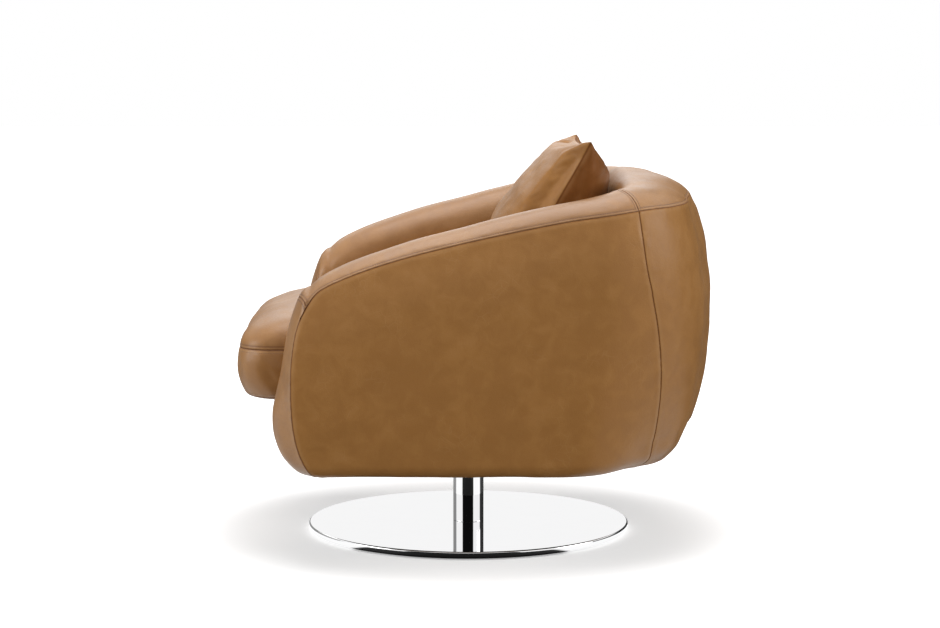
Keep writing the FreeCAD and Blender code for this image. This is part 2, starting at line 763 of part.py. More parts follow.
def pillow_loft(inset):
    lean = math.radians(pillow_lean)
    up = vec(0, math.sin(lean), math.cos(lean))
    out = vec(0, math.cos(lean), -math.sin(lean))
    foot = vec(0, pillow_foot_y, cushion_crown_height + pillow_seat_gap)
    centre = foot + up * pillow_half_height
    wires = []
    for step, full in pillow_steps:
        x = step * (pillow_half_width - inset)
        half = (pillow_half_height - 2.2 * inset) * (1.0 + 0.03 * step ** 4)
        front = pillow_front_fullness * full - inset
        back = pillow_back_fullness * full - inset
        if inset > 0:
            front = max(front, 1.2)
            back = max(back, 1.8)

        def spot(height, depth):
            place = centre + up * height + out * depth
            return vec(x, place.y, place.z)

        low = spot(-half, 0.0)
        top = spot(half, 0.0)
        shoulder = spot(0.42 * half, back)
        wires.append(Part.Wire([
            arc(top, spot(0.0, -front), low),
            arc(low, spot(-0.34 * half, 0.66 * back), shoulder),
            arc(shoulder, spot(0.82 * half, 0.64 * back), top)]))
    return loft(wires, False)


def make_pillow():
    lean = math.radians(pillow_lean)
    cover = pillow_loft(0.0).cut(pillow_loft(leather_thickness))
    foot = vec(0, pillow_foot_y, cushion_crown_height + pillow_seat_gap)
    slab = box((-far, -far, -far), (far, 0.0, far))
    slab.rotate(vec(0, 0, 0), vec(1, 0, 0), -pillow_lean)
    slab.translate(foot)
    parts["pillow_front"] = cover.common(slab)
    parts["pillow_back"] = cover.cut(slab)
    parts["pillow_fill"] = pillow_loft(padding_inset)


make_frame()
make_deck()
make_base()
make_body()
make_cushion()
make_pillow()

os.makedirs("parts", exist_ok=True)
for name, shape in parts.items():
    shape.exportStep("parts/" + name + ".step")
    state = "" if shape.isValid() else "NOT VALID"
    print(name, len(shape.Solids), round(shape.Volume), state)
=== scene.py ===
import math

import bmesh
import bpy
import numpy as np
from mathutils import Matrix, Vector, kdtree


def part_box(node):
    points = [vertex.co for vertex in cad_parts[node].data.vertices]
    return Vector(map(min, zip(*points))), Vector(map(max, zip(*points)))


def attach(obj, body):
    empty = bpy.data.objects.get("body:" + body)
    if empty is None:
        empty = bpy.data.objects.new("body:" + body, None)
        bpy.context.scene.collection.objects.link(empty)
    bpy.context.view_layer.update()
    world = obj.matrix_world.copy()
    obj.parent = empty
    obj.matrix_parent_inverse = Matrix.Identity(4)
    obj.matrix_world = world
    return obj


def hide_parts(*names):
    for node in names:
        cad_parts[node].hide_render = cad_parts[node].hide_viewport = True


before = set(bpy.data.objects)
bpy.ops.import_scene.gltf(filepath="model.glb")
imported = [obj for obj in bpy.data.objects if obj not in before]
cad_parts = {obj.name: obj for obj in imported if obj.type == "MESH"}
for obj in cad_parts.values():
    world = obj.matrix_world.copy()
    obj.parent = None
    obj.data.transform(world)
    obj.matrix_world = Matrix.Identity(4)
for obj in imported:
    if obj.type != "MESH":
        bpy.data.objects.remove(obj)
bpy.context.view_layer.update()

bl_info = {
    "name": "Leather swivel armchair",
    "version": (1, 0, 0),
    "blender": (4, 5, 0),
    "location": "3D View > Sidebar > Armchair",
    "description": "Dresses a swivel armchair in leather, chrome and cloth",
    "category": "Object",
}

MM = 0.001
SKINS = {}

# Sizes of the upholstered wall, in millimetres, as the frame has them
ARM_LINE_X, BACK_LINE_Y, CORNER_R = 345.0, 350.0, 170.0
ARM_FRONT_Y, NOSE_DEPTH, NOSE_HEIGHT = -275.0, 62.0, 285.0
CORNER_X, CORNER_Y = ARM_LINE_X - CORNER_R, BACK_LINE_Y - CORNER_R
ARM_TOP, BACK_RIM, FOOT = 496.0, 664.0, 160.4
INNER_END = 255.0
MIDDLE_S = CORNER_Y + CORNER_R * math.pi / 2 + CORNER_X
CREST_RISE = [(0.0, 0.0), (0.03, 0.1), (0.072, 0.187), (0.183, 0.355), (0.322, 0.517),
              (0.598, 0.773), (0.805, 0.93), (0.92, 0.994), (1.0, 1.0)]
# The back is a shallow barrel: bowed out in its middle, drawn in at its corners and foot and lifted at
# its rim, by an amount for the place round the section times a share for the distance from its middle
BOW_OUT = [(1.6, 0.0), (2.0, -7.0), (2.4, -4.0), (3.0, 13.0), (3.3, 19.0), (3.6, 19.0), (4.0, 18.0),
           (4.6, 15.0), (4.85, 10.0), (5.0, 2.0), (5.25, 10.0), (5.5, 12.0), (6.0, 4.0), (7.0, 0.0)]
DRAW_IN = [(2.0, 0.0), (2.4, 0.0), (3.0, -6.0), (4.0, -7.0), (4.6, -10.0), (5.0, -15.0),
           (5.25, -8.0), (5.6, -2.0), (6.0, 0.0), (7.0, 0.0)]
FOOT_IN = [(1.2, 0.0), (2.0, -11.0), (2.4, -9.5), (2.8, -8.5), (3.2, -5.0), (4.0, 0.0)]
RIM_LIFT = [(4.4, 0.0), (5.0, 4.0), (5.25, 5.5), (5.6, 6.5), (6.0, 6.5), (6.5, 3.0), (7.0, 0.0)]
MIDDLE_SHARE = [(0.0, 1.0), (60.0, 0.8), (120.0, 0.34), (175.0, 0.0), (442.0, 0.0)]
CORNER_SHARE = [(0.0, 0.0), (80.0, 0.42), (175.0, 1.0), (240.0, 1.0), (310.0, 0.6), (360.0, 0.2),
                (420.0, 0.0), (442.0, 0.0)]
FOOT_SHARE = [(90.0, 0.0), (176.0, 0.45), (206.0, 0.95), (250.0, 0.95), (290.0, 0.7), (330.0, 0.62),
              (400.0, 0.35), (442.0, 0.0)]
RIM_SHARE = [(0.0, 0.9), (60.0, 1.0), (120.0, 0.9), (190.0, 0.6), (250.0, 0.15), (290.0, 0.0), (442.0, 0.0)]
BARREL = ((BOW_OUT, MIDDLE_SHARE), (DRAW_IN, CORNER_SHARE), (FOOT_IN, FOOT_SHARE))
# First, last and middle spot of each of the section's eight lines and arcs
SECTION = ((0, 1, None), (1, 2, None), (2, 4, 3), (4, 6, 5), (6, 8, 7), (8, 10, 9), (10, 12, 11),
           (12, 0, None))
# Lengths that stand for one step round the section, so that a panel is divided evenly
SECTION_RUN = np.array([0.0, 40.0, 60.0, 105.0, 290.0, 400.0, 455.0, 540.0, 730.0])


# ---------------------------------------------------------------- shapes in numbers

def mix(first, second, share):
    """Value at a share of the way from the first to the second."""
    return first + (second - first) * share


def cubic(t, first, first_slope, second, second_slope):
    """Point of a cubic between two points with a slope each."""
    start = (2 * t ** 3 - 3 * t ** 2 + 1) * first + (t ** 3 - 2 * t ** 2 + t) * first_slope
    return start + (3 * t ** 2 - 2 * t ** 3) * second + (t ** 3 - t ** 2) * second_slope


def rise(points, value):
    """Monotone cubic through (place, amount) pairs, for a whole array of places."""
    x, y = np.array(points, float).T
    slope = np.diff(y) / np.diff(x)
    both, total = slope[:-1] * slope[1:], slope[:-1] + slope[1:]
    inside = np.where(both > 0, 2 * both / np.where(np.abs(total) > 1e-12, total, 1.0), 0.0)
    lean = np.concatenate([slope[:1], inside, slope[-1:]])
    v = np.clip(value, x[0], x[-1])
    k = np.clip(np.searchsorted(x, v, side="right") - 1, 0, len(x) - 2)
    step = x[k + 1] - x[k]
    return cubic((v - x[k]) / step, y[k], step * lean[k], y[k + 1], step * lean[k + 1])


def run_of(line):
    """Length run so far at each point of a line, or of each column of a grid."""
    gap = np.linalg.norm(np.diff(line, axis=0), axis=-1)
    return np.concatenate([np.zeros_like(gap[:1]), np.cumsum(gap, axis=0)])


def at_run(want, run, values):
    """Values along a line at the wanted lengths of its run."""
    return np.stack([np.interp(want, run, column) for column in values.T], -1)


def even(line, count):
    """The same line at places an equal length apart."""
    run = run_of(line)
    return at_run(np.linspace(0, run[-1], count), run, line)


def shared(line, share):
    """The line's places at shares of its number of points."""
    return at_run(share, np.linspace(0, 1, len(line)), line)


def curve_through(points, count):
    """Natural cubic through points, at a number of places an equal length apart."""
    p = np.array(points, float)
    gap = np.maximum(np.diff(run_of(p)), 1e-9)
    u = np.concatenate([[0.0], np.cumsum(gap)])
    matrix, wanted = np.eye(len(p)), np.zeros_like(p)
    for k in range(1, len(p) - 1):
        matrix[k, k - 1:k + 2] = gap[k - 1] / 6, (gap[k - 1] + gap[k]) / 3, gap[k] / 6
        wanted[k] = (p[k + 1] - p[k]) / gap[k] - (p[k] - p[k - 1]) / gap[k - 1]
    bend = np.linalg.solve(matrix, wanted)
    fine = np.linspace(0, u[-1], 12 * count)
    k = np.clip(np.searchsorted(u, fine, side="right") - 1, 0, len(p) - 2)
    right = ((fine - u[k]) / gap[k])[:, None]
    left = 1 - right
    line = left * p[k] + right * p[k + 1]
    line += ((left ** 3 - left) * bend[k] + (right ** 3 - right) * bend[k + 1]) * gap[k][:, None] ** 2 / 6
    return even(line, count)


def arc_at(a, m, b, t):
    """Point at a share t of the circle's arc from a through m to b."""
    (ax, ay), (mx, my), (bx, by) = (np.moveaxis(p, -1, 0) for p in (a, m, b))
    d = 2 * (ax * (my - by) + mx * (by - ay) + bx * (ay - my))
    d = np.where(np.abs(d) < 1e-6, 1e-6, d)
    sa, sm, sb = ax ** 2 + ay ** 2, mx ** 2 + my ** 2, bx ** 2 + by ** 2
    cx = (sa * (my - by) + sm * (by - ay) + sb * (ay - my)) / d
    cy = (sa * (bx - mx) + sm * (ax - bx) + sb * (mx - ax)) / d
    first = np.arctan2(ay - cy, ax - cx)
    turn = np.mod(np.arctan2(by - cy, bx - cx) - first, 2 * np.pi)
    turn = np.where(d > 0, turn, turn - 2 * np.pi)
    turn = np.where(turn <= -2 * np.pi, 0.0, turn)
    radius = np.hypot(ax - cx, ay - cy)
    angle = first + turn * t
    return np.stack([cx + radius * np.cos(angle), cy + radius * np.sin(angle)], -1)


def crest(y):
    """Height of the wall's crest for a y, and the share of the way from the arm's front to the back."""
    share = np.clip((y - ARM_FRONT_Y) / (BACK_LINE_Y - ARM_FRONT_Y), 0, 1)
    return mix(ARM_TOP, BACK_RIM, rise(CREST_RISE, share)), share


def wall_spots(share, y, turn_in):
    """Ends and middles of the arcs of the wall's section, as (offset, height) pairs."""
    top, along = crest(y)
    seam = top - mix(20.0, 34.0, along)
    low = FOOT + mix(22.0, 65.0, share)
    wide_z = seam - mix(105.0, 196.0, share)
    low_x = mix(37.0, 56.0, share) - turn_in
    seam_x = mix(45.0, 59.0, share)
    wide = mix(63.0, 83.0, share)
    in_top, in_low, ridge = -mix(55.0, 86.0, share), -mix(55.0, 126.0, share), -mix(0.0, 60.0, share)
    in_end = top - mix(62.0, 42.0, share)
    tuck = -20.0 - turn_in
    start = mix(tuck, low_x, 0.35)
    full = mix(0.707, 0.57, share)
    foot = np.full_like(top, FOOT)

    def bulge(x, z):
        lean, up = wide - x, z - wide_z
        radius = (lean * lean + up * up) / (2 * lean)
        turn = 0.5 * np.arcsin(np.clip(up / radius, -1, 1))
        return wide - radius + radius * np.cos(turn), wide_z + radius * np.sin(turn)

    spots = [(in_low, foot), (tuck, foot), (start, foot),
             (mix(start, low_x, full), mix(low, foot, full)), (low_x, low), bulge(low_x, low),
             (wide, wide_z), bulge(seam_x, seam), (seam_x, seam),
             (mix(seam_x, ridge, 0.45), mix(seam, top, 0.74)), (ridge, top),
             (mix(ridge, in_top, 0.78), mix(top, in_end, 0.34)), (in_top, in_end)]
    return np.stack([np.stack(pair, -1) for pair in spots], -2)


def wall(s, k):
    """Place on the upholstered wall. s runs along it from the arm's tip through the corner to the
    back's middle and on; k runs round its section: 1 tuck, 2 foot, 3 low, 4 widest, 5 outer seam,
    6 crest, 7 inner round, 8 inner foot. The section is lines and arcs through moving spots."""
    s, k = np.broadcast_arrays(np.asarray(s, float), np.asarray(k, float))
    far_half = s > MIDDLE_S
    t = np.where(far_half, 2 * MIDDLE_S - s, s)
    turn = np.clip((t - CORNER_Y) / CORNER_R, 0, np.pi / 2)
    nose = np.clip((ARM_FRONT_Y - t) / NOSE_DEPTH, 0, np.pi / 2)
    y_mid = np.where(t < CORNER_Y, np.maximum(t, ARM_FRONT_Y), CORNER_Y + CORNER_R * np.sin(turn))
    x_mid = CORNER_X + CORNER_R * np.cos(turn) - np.maximum(t - CORNER_Y - CORNER_R * np.pi / 2, 0)
    p = wall_spots(np.sin(turn) ** 2, y_mid, 26.0 * np.sin(2 * turn) ** 2)
    spot = np.zeros(s.shape + (2,))
    for number, (first, last, middle) in enumerate(SECTION):
        here = (k >= number) & ((k < number + 1) | (number == len(SECTION) - 1))
        if not here.any():
            continue
        share, near = np.clip(k[here] - number, 0, 1), p[here]
        if middle is None:
            spot[here] = mix(near[:, first], near[:, last], share[:, None])
        else:
            spot[here] = arc_at(near[:, first], near[:, middle], near[:, last], share)
    from_middle = np.abs(MIDDLE_S - s)
    offset = spot[..., 0] + sum(rise(amount, k) * rise(share, from_middle) for amount, share in BARREL)
    height = spot[..., 1] + rise(RIM_LIFT, k) * rise(RIM_SHARE, from_middle)
    left = np.cos(nose)
    offset = offset * left ** 0.55
    height = mix(NOSE_HEIGHT, height, np.where(height > NOSE_HEIGHT, left ** 1.7, left ** 0.85))
    x = x_mid + offset * np.cos(turn)
    y = y_mid + offset * np.sin(turn) - NOSE_DEPTH * np.sin(nose)
    return np.stack([np.where(far_half, -x, x), y, height], -1)


def s_of_y(y):
    """Place along the arm for a y in front of the corner."""
    y = np.asarray(y, float)
    ahead = np.clip((ARM_FRONT_Y - y) / NOSE_DEPTH, 0, 1)
    return np.where(y >= ARM_FRONT_Y, y, ARM_FRONT_Y - NOSE_DEPTH * np.arcsin(ahead))


def corner_s(turn):
    """Place along the wall for a turn round the corner in degrees."""
    return CORNER_Y + CORNER_R * np.radians(turn)


def k_of_height(s, z, low, high):
    """Place round the section, between two limits, at which the wall has a height."""
    k = np.linspace(low, high, 240)
    heights = wall(np.asarray(s, float)[:, None], k[None, :])[..., 2]
    return np.array([np.interp(level, row, k) if row[-1] > row[0] else np.interp(level, row[::-1], k[::-1])
                     for level, row in zip(z, heights)])


def q_of_k(k):
    """Length round the section for a place round it."""
    return np.interp(k, np.arange(9), SECTION_RUN)


def k_of_q(q):
    """Place round the section for a length round it."""
    return np.interp(q, SECTION_RUN, np.arange(9))


def in_plane(s, k):
    """Line in the (s, q) plane for places along the wall and round its section."""
    return np.stack(np.broadcast_arrays(s, q_of_k(k)), 1)


def in_space(line):
    """Places of a line or grid that is given in the (s, q) plane."""
    return wall(line[..., 0], k_of_q(line[..., 1]))


def patch(bottom, right, top, left, u, v):
    """Coons patch in the (s, q) plane: what the two pairs of opposite lines give, less what the four
    corners give. Bottom and top run along u, left and right along v."""
    def at(line, t):
        run = run_of(line)
        return at_run(t * run[-1], run, line)

    uu, vv = u[None, :, None], v[:, None, None]
    across = mix(at(bottom, u)[None], at(top, u)[None], vv)
    along = mix(at(left, v)[:, None], at(right, v)[:, None], uu)
    return across + along - mix(mix(bottom[0], bottom[-1], uu), mix(top[0], top[-1], uu), vv)


def steps(length, pace, start=True, end=True):
    """Shares from 0 to 1 that crowd together at a sewn edge and are a pace apart elsewhere."""
    near = np.array([0.0, 0.5, 1.0, 1.6, 2.3, 3.2, 4.4, 6.0, 8.2, 11.0, 15.0])
    first = near if start else near[:1]
    last = length - (near if end else near[:1])[::-1]
    count = max(2, int(round((last[0] - first[-1]) / pace)) + 1)
    return np.unique(np.concatenate([first, np.linspace(first[-1], last[0], count), last])) / length


def ripple(place, sizes, seed, count=22):
    """Smooth uneven field of about unit size: a sum of waves in seeded directions."""
    rng = np.random.default_rng(seed)
    way = rng.normal(size=(count, 3))
    way /= np.linalg.norm(way, axis=1)[:, None]
    way = way * (2 * np.pi / (np.broadcast_to(sizes, (1, 3)) * rng.uniform(0.7, 1.5, (count, 1))))
    phase = rng.uniform(0, 2 * np.pi, count)
    return sum(np.sin(place @ w + f) for w, f in zip(way, phase)) * math.sqrt(2.0 / count)


def unit(vectors):
    """Vectors brought to length 1."""
    return vectors / np.maximum(np.linalg.norm(vectors, axis=-1, keepdims=True), 1e-12)


def normals_of(p):
    """Unit normals of a grid of places, from its two differences."""
    return unit(np.cross(np.gradient(p, axis=1), np.gradient(p, axis=0)))


def distance_to(places, lines):
    """Distance of each place from the nearest point of some lines, and that point's place along them.
    The lines are taken at points 1 mm apart."""
    dense = np.concatenate([even(line, max(8, int(run_of(line)[-1]))) for line in lines])
    tree = kdtree.KDTree(len(dense))
    for number, point in enumerate(dense):
        tree.insert(point, number)
    tree.balance()
    found = np.array([tree.find(point)[1:] for point in places.reshape(-1, 3)], float)
    return found[:, 1].reshape(places.shape[:-1]), found[:, 0].reshape(places.shape[:-1])


def fold(d, radius=1.7):
    """How deep a sewn edge is rolled in at a distance from its seam: a quarter round."""
    inside = np.clip(radius - d, 0, radius)
    return radius - np.sqrt(np.maximum(radius ** 2 - inside ** 2, 0))


def gathers(d, along, seed, height=0.34, reach=9.0):
    """Small puckers that run out square from a seam: uneven waves along it that fade away from it."""
    line = np.stack([along, 0 * along, 0 * along], -1)
    calm = np.clip(0.65 + 0.35 * ripple(line, 90.0, seed + 1), 0.1, 1.4)
    return height * ripple(line, 6.5, seed) * calm * np.exp(-d / reach) * (1 - np.exp(-d / 1.4))


def stitch_groove(d):
    """Share of the dent that a row of stitches pulls into the leather, at a distance from its seam."""
    return np.exp(-((d - bpy.context.scene.armchair.stitch_offset / MM) / 1.15) ** 2)


# ---------------------------------------------------------------- making mesh objects

def grid_faces(rows, columns, wrap=False, offset=0, closed=False):
    """Four-sided faces of a grid. With wrap its columns close up, and with closed its rows do too."""
    r = np.arange(rows if closed else rows - 1)[:, None]
    c = np.arange(columns if wrap else columns - 1)[None, :]
    up, nxt = (r + 1) % rows, (c + 1) % columns
    quads = [r * columns + c, r * columns + nxt, up * columns + nxt, up * columns + c]
    return np.stack(quads, -1).reshape(-1, 4) + offset


def place_object(name, data):
    """New object in the scene."""
    piece = bpy.data.objects.new(name, data)
    bpy.context.scene.collection.objects.link(piece)
    return piece


def make_mesh(name, places, faces, material, smooth=True, uv=None, masks=None):
    """Mesh object from whole arrays: places in millimetres, faces of four corners. A face that names a
    corner twice at its end is a triangle."""
    mesh = bpy.data.meshes.new(name)
    co = np.asarray(places, float).reshape(-1, 3) * MM
    quads = np.asarray(faces, np.int32)
    odd = (quads[:, 3] == quads[:, 2]) | (quads[:, 3] == quads[:, 0])
    corners = np.concatenate([quads[~odd].ravel(), quads[odd][:, :3].ravel()])
    sizes = np.repeat([4, 3], [(~odd).sum(), odd.sum()])
    mesh.vertices.add(len(co))
    mesh.vertices.foreach_set("co", co.astype(np.float32).ravel())
    mesh.loops.add(len(corners))
    mesh.loops.foreach_set("vertex_index", corners)
    mesh.polygons.add(len(sizes))
    mesh.polygons.foreach_set("loop_start", (np.cumsum(sizes) - sizes).astype(np.int32))
    mesh.update(calc_edges=True)
    mesh.polygons.foreach_set("use_smooth", np.full(len(sizes), smooth))
    if uv is not None:
        layer = mesh.uv_layers.new(name="UVMap")
        layer.data.foreach_set("uv", np.asarray(uv, np.float32).reshape(-1, 2)[corners].ravel())
    for key, value in (masks or {}).items():
        mask = mesh.attributes.new(key, "FLOAT", "POINT")
        mask.data.foreach_set("value", np.asarray(value, np.float32).ravel())
    mesh.validate()
    mesh.update()
    if material is not None:
        mesh.materials.append(material)
    return place_object(name, mesh)


def two_sided(name, front, back, material, masks=None):
    """Closed sheet: two grids of one size and a band that joins their rims."""
    rows, columns = front.shape[:2]
    n = rows * columns
    rim = np.concatenate([np.arange(columns), np.arange(1, rows) * columns + columns - 1,
                          (rows - 1) * columns + np.arange(columns - 2, -1, -1),
                          np.arange(rows - 2, 0, -1) * columns])
    after = np.roll(rim, -1)
    faces = np.concatenate([grid_faces(rows, columns), grid_faces(rows, columns, offset=n)[:, ::-1],
                            np.stack([after, rim, rim + n, after + n], 1)])
    piece = make_mesh(name, np.stack([front, back]), faces, material, masks=masks)
    return face_outward(piece, (front.mean((0, 1)) + back.mean((0, 1))) / 2)


def read(items, key, width, kind=np.float64):
    """One property of all items of a mesh, a row for each."""
    values = np.empty(len(items) * width, kind)
    items.foreach_get(key, values)
    return values.reshape(-1, width)


def face_outward(piece, inside):
    """Turns the faces round if they look towards a point inside the piece."""
    mesh = piece.data
    mesh.update()
    away = read(mesh.polygons, "center", 3) - np.asarray(inside)[None, :] * MM
    flow = (away * read(mesh.polygons, "normal", 3)).sum(1) * read(mesh.polygons, "area", 1)[:, 0]
    if flow.sum() < 0:
        mesh.flip_normals()
    return piece


def face_each_out(piece):
    """Makes the faces of many small closed shapes look outward."""
    work = bmesh.new()
    work.from_mesh(piece.data)
    bmesh.ops.recalc_face_normals(work, faces=work.faces)
    work.to_mesh(piece.data)
    work.free()
    return piece


def mirrored(piece, name):
    """Copy of a piece on the other side of the plane X = 0."""
    mesh = piece.data.copy()
    co = read(mesh.vertices, "co", 3, np.float32) * np.array([-1, 1, 1], np.float32)
    mesh.vertices.foreach_set("co", co.ravel())
    mesh.flip_normals()
    mesh.update()
    return place_object(name, mesh)


def dress(piece, body, slot, *nodes, fill=None):
    """Puts a piece on its body and hides the nodes that it stands for. The slot is not used."""
    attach(piece, body)
    if nodes:
        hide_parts(*nodes)
    return piece


def box_of(node):
    """Lowest and highest corner of a CAD node, in millimetres."""
    return [np.array(corner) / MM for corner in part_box(node)]


# ---------------------------------------------------------------- leather of the body

# The one seam that runs from under the arm, up its front and along the top of its side: (y, z)
FRONT_SEAM = [(-262.0, 487.5), (-270.0, 478.0), (-278.5, 465.5), (-286.0, 451.5), (-293.0, 436.0),
              (-299.0, 415.0), (-303.5, 388.0), (-306.5, 358.0), (-307.5, 325.0), (-307.0, 292.0),
              (-305.0, 260.0), (-300.5, 230.0), (-293.5, 204.0), (-284.0, 182.0), (-276.0, 169.0)]
FRONT_FOOT_Y, FRONT_FOOT_K = (-256.0, -258.0, -266.0), (1.0, 1.6, 2.35)
TOP_SEAM_Y, TOP_SEAM_TURN = (-250.0, -225.0, -180.0, -120.0, -40.0, 60.0, 150.0), (5.0, 15.0, 32.5)
# Turn of the upright seam in the back corner, from the foot up, against the section's place
BACK_SEAM = [(1.0, 58.0), (2.0, 57.6), (2.4, 56.3), (2.7, 54.0), (3.0, 52.4), (3.2, 49.4), (3.4, 46.5),
             (3.6, 43.2), (3.8, 39.5), (4.0, 35.6), (4.2, 33.8), (4.4, 32.9), (4.7, 32.4), (5.0, 32.5)]
# Seam across the arm's front end, after its start on the outer seam
FRONT_CROSS_K = (5.35, 6.0, 6.5, 7.0, 7.25, 7.55)
FRONT_CROSS_Y = (-289.0, -295.5, -299.0, -300.0, -298.0, -292.0)
# How far the arm's front line is pushed forward at a height
FRONT_BELLY = [(160.0, 0.0), (176.0, 1.5), (205.0, 6.0), (235.0, 7.0), (268.0, 6.0), (305.0, 2.5),
               (350.0, -1.5), (395.0, -0.5), (430.0, 0.0), (500.0, 0.0)]
# Foot of the arm's front line, and the seam down the inner side of the front band
FRONT_TAIL = [(ARM_LINE_X, -290.0, 164.2), (ARM_LINE_X, -276.0, 160.8), (ARM_LINE_X, -258.0, 160.4)]
INNER_SEAM = [(290.0, -290.0, 400.0), (290.0, -287.0, 360.0), (290.0, -286.0, 300.0), (290.5, -284.0, 240.0),
              (293.0, -276.0, 195.0), (300.0, -266.0, 166.0), (312.0, -258.0, 160.4)]
# Points of the front seam, from its end, where the cross seam starts and where the side panel turns
JOINT_AT, TURN_AT = 2, 3
FRONT_ROWS, FRONT_HEIGHT = 230, 560.0


def body_seams():
    """Seam lines of the left half in the (s, q) plane: the one from the arm's foot up its front and
    along its top, its numbers at the joint and at the panel's corner, and the back's upright seam."""
    y, z = np.array(FRONT_SEAM).T
    front = in_plane(s_of_y(y), k_of_height(s_of_y(y), z, 2.0, 5.0))[::-1]
    line = curve_through(np.concatenate([
        in_plane(s_of_y(FRONT_FOOT_Y), FRONT_FOOT_K), front, in_plane(s_of_y(TOP_SEAM_Y), 5.0),
        in_plane(corner_s(TOP_SEAM_TURN), 5.0)]), 700)
    line[:, 1] = np.minimum(line[:, 1], q_of_k(5.0))
    joint, turn = (int(np.argmin(np.linalg.norm(line - front[-1 - number], axis=1)))
                   for number in (JOINT_AT, TURN_AT))
    back_k = np.linspace(1.0, 5.0, 120)
    return line, joint, turn, in_plane(corner_s(rise(BACK_SEAM, back_k)), back_k)


def front_cross():
    """Seam across the arm's front end, from the outer seam over the top and down the inner face."""
    line, joint = body_seams()[:2]
    start = line[joint]
    return curve_through(np.concatenate([[start], in_plane(s_of_y(FRONT_CROSS_Y), FRONT_CROSS_K)]), 260)


def inner_end_q(s):
    """Where the inner face's leather ends, at the seat deck's level."""
    return q_of_k(k_of_height(s, np.full(len(s), INNER_END), 7.0, 7.999))


def back_cross():
    """Seam across the top in the corner, from the outer seam to the inner face's foot."""
    k = np.linspace(5.0, 7.0, 40)
    line = in_plane(corner_s(mix(32.5, 34.5, (k - 5.0) / 2)), k)
    tail = np.linspace(line[-1, 1], inner_end_q(line[-1:, 0])[0], 40)[1:]
    return np.concatenate([line, np.stack([np.full(len(tail), line[-1, 0]), tail], 1)])


def other_side(line):
    """The same line on the right half, in the (s, q) plane."""
    return line * np.array([-1.0, 1.0]) + np.array([2 * MIDDLE_S, 0.0])


def inner_foot(first, last, count):
    """Lower edge of an inner face between two places along the wall."""
    s = np.linspace(first, last, count)
    return np.stack([s, inner_end_q(np.minimum(s, 2 * MIDDLE_S - s))], 1)


def leather_panel(name, edges, runs, pace, sewn, material, seed, soft=0.8, stitched=()):
    """A sewn leather panel: a Coons patch on the wall, whose sewn edges roll in by a quarter round,
    with a low swell beside each seam and uneven shallow waves further in."""
    u = steps(runs[0], pace, "left" in sewn, "right" in sewn)
    v = steps(runs[1], pace, "bottom" in sewn, "top" in sewn)
    plane = patch(edges["bottom"], edges["right"], edges["top"], edges["left"], u, v)
    lines, rows = ([in_space(edges[side]) for side in sides] for sides in (sewn, stitched))
    return finish_panel(name, in_space(plane), lines, rows, material, seed, 0.45, soft, plane)


def finish_panel(name, places, lines, rows, material, seed, puff, soft, plane):
    """Rolls in the sewn edges, adds the swell, the puckers, the stitches' groove and the waves, and keeps
    the distance from the seam and the groove's share as masks."""
    normal = normals_of(places)
    sign = outward_sign(places, normal)
    d, along = distance_to(places, lines)
    groove = stitch_groove(distance_to(places, rows)[0]) if rows else np.zeros(d.shape)
    wave = ripple(places, (170.0, 130.0, 80.0), seed) * 0.5
    wave += ripple(places, (60.0, 44.0, 28.0), seed + 1) * 0.1
    swell = puff * np.exp(-((d - 7.0) / 7.0) ** 2) * (1 + 0.5 * ripple(places, 26.0, seed + 2))
    move = -fold(d) + swell * (1 - np.exp(-d / 3.0)) + soft * wave * (1 - np.exp(-d / 34.0))
    move += gathers(d, along, seed + 3) - 0.45 * groove
    out = places + normal * (sign * move)[..., None]
    SKINS[name] = (out, sign * normal)
    piece = make_mesh(name + "_leather", out, grid_faces(*places.shape[:2]), material, uv=plane * MM,
                      masks={"seam": d * MM, "stitch": groove})
    if sign < 0:
        piece.data.flip_normals()
    return piece


def outward_sign(places, normal):
    """1 where the grid's normals leave the wall's middle line, -1 where they enter it."""
    x, y, z = np.moveaxis(places, -1, 0)
    past_x, past_y = np.maximum(np.abs(x) - CORNER_X, 0), np.maximum(y - CORNER_Y, 0)
    pull = CORNER_R * 0.95 / np.maximum(np.hypot(past_x, past_y), 1e-6)
    round_x, round_y = np.minimum(np.abs(x), CORNER_X) + pull * past_x, CORNER_Y + pull * past_y
    core_x = np.sign(x) * np.where(y > CORNER_Y, round_x, ARM_LINE_X)
    core_y = np.where(y > CORNER_Y, round_y, np.clip(y, ARM_FRONT_Y + 5, CORNER_Y))
    core = np.stack([core_x, core_y, np.clip(z, 230, 430)], -1)
    return 1.0 if ((places - core) * normal).sum(-1).mean() > 0 else -1.0


def arm_side(material):
    """Flat outer panel of the left arm, from the front seam to the upright one in the corner."""
    line, _, turn, back = body_seams()
    edges = {"bottom": np.linspace(line[0], back[0], 60), "right": back, "left": line[:turn + 1],
             "top": np.concatenate([line[turn:-1], back[-1:]])}
    return leather_panel("arm_side_left", edges, (640.0, 360.0), 3.2, ("left", "top", "right"), material, 11)


def arm_band(material):
    """Rolled band of the left arm, from the outer seam over the top and down the inner face."""
    line, joint, _, back = body_seams()
    left, right = front_cross(), back_cross()
    foot = inner_foot(left[-1, 0], right[-1, 0], 60)
    foot[0], foot[-1] = left[-1], right[-1]
    edges = {"bottom": np.concatenate([line[joint:-1], back[-1:]]), "left": left, "right": right, "top": foot}
    sewn = ("bottom", "left", "right")
    return leather_panel("arm_band_left", edges, (590.0, 330.0), 3.2, sewn, material, 23, stitched=sewn)


def back_outside(material):
    """Outer panel of the back, between the two upright seams."""
    left = body_seams()[3]
    right = other_side(left)
    edges = {"bottom": np.linspace(left[0], right[0], 80), "top": np.linspace(left[-1], right[-1], 80),
             "left": left, "right": right}
    sewn = ("left", "top", "right")
    return leather_panel("back_outside", edges, (760.0, 470.0), 3.4, sewn, material, 37, 1.2)


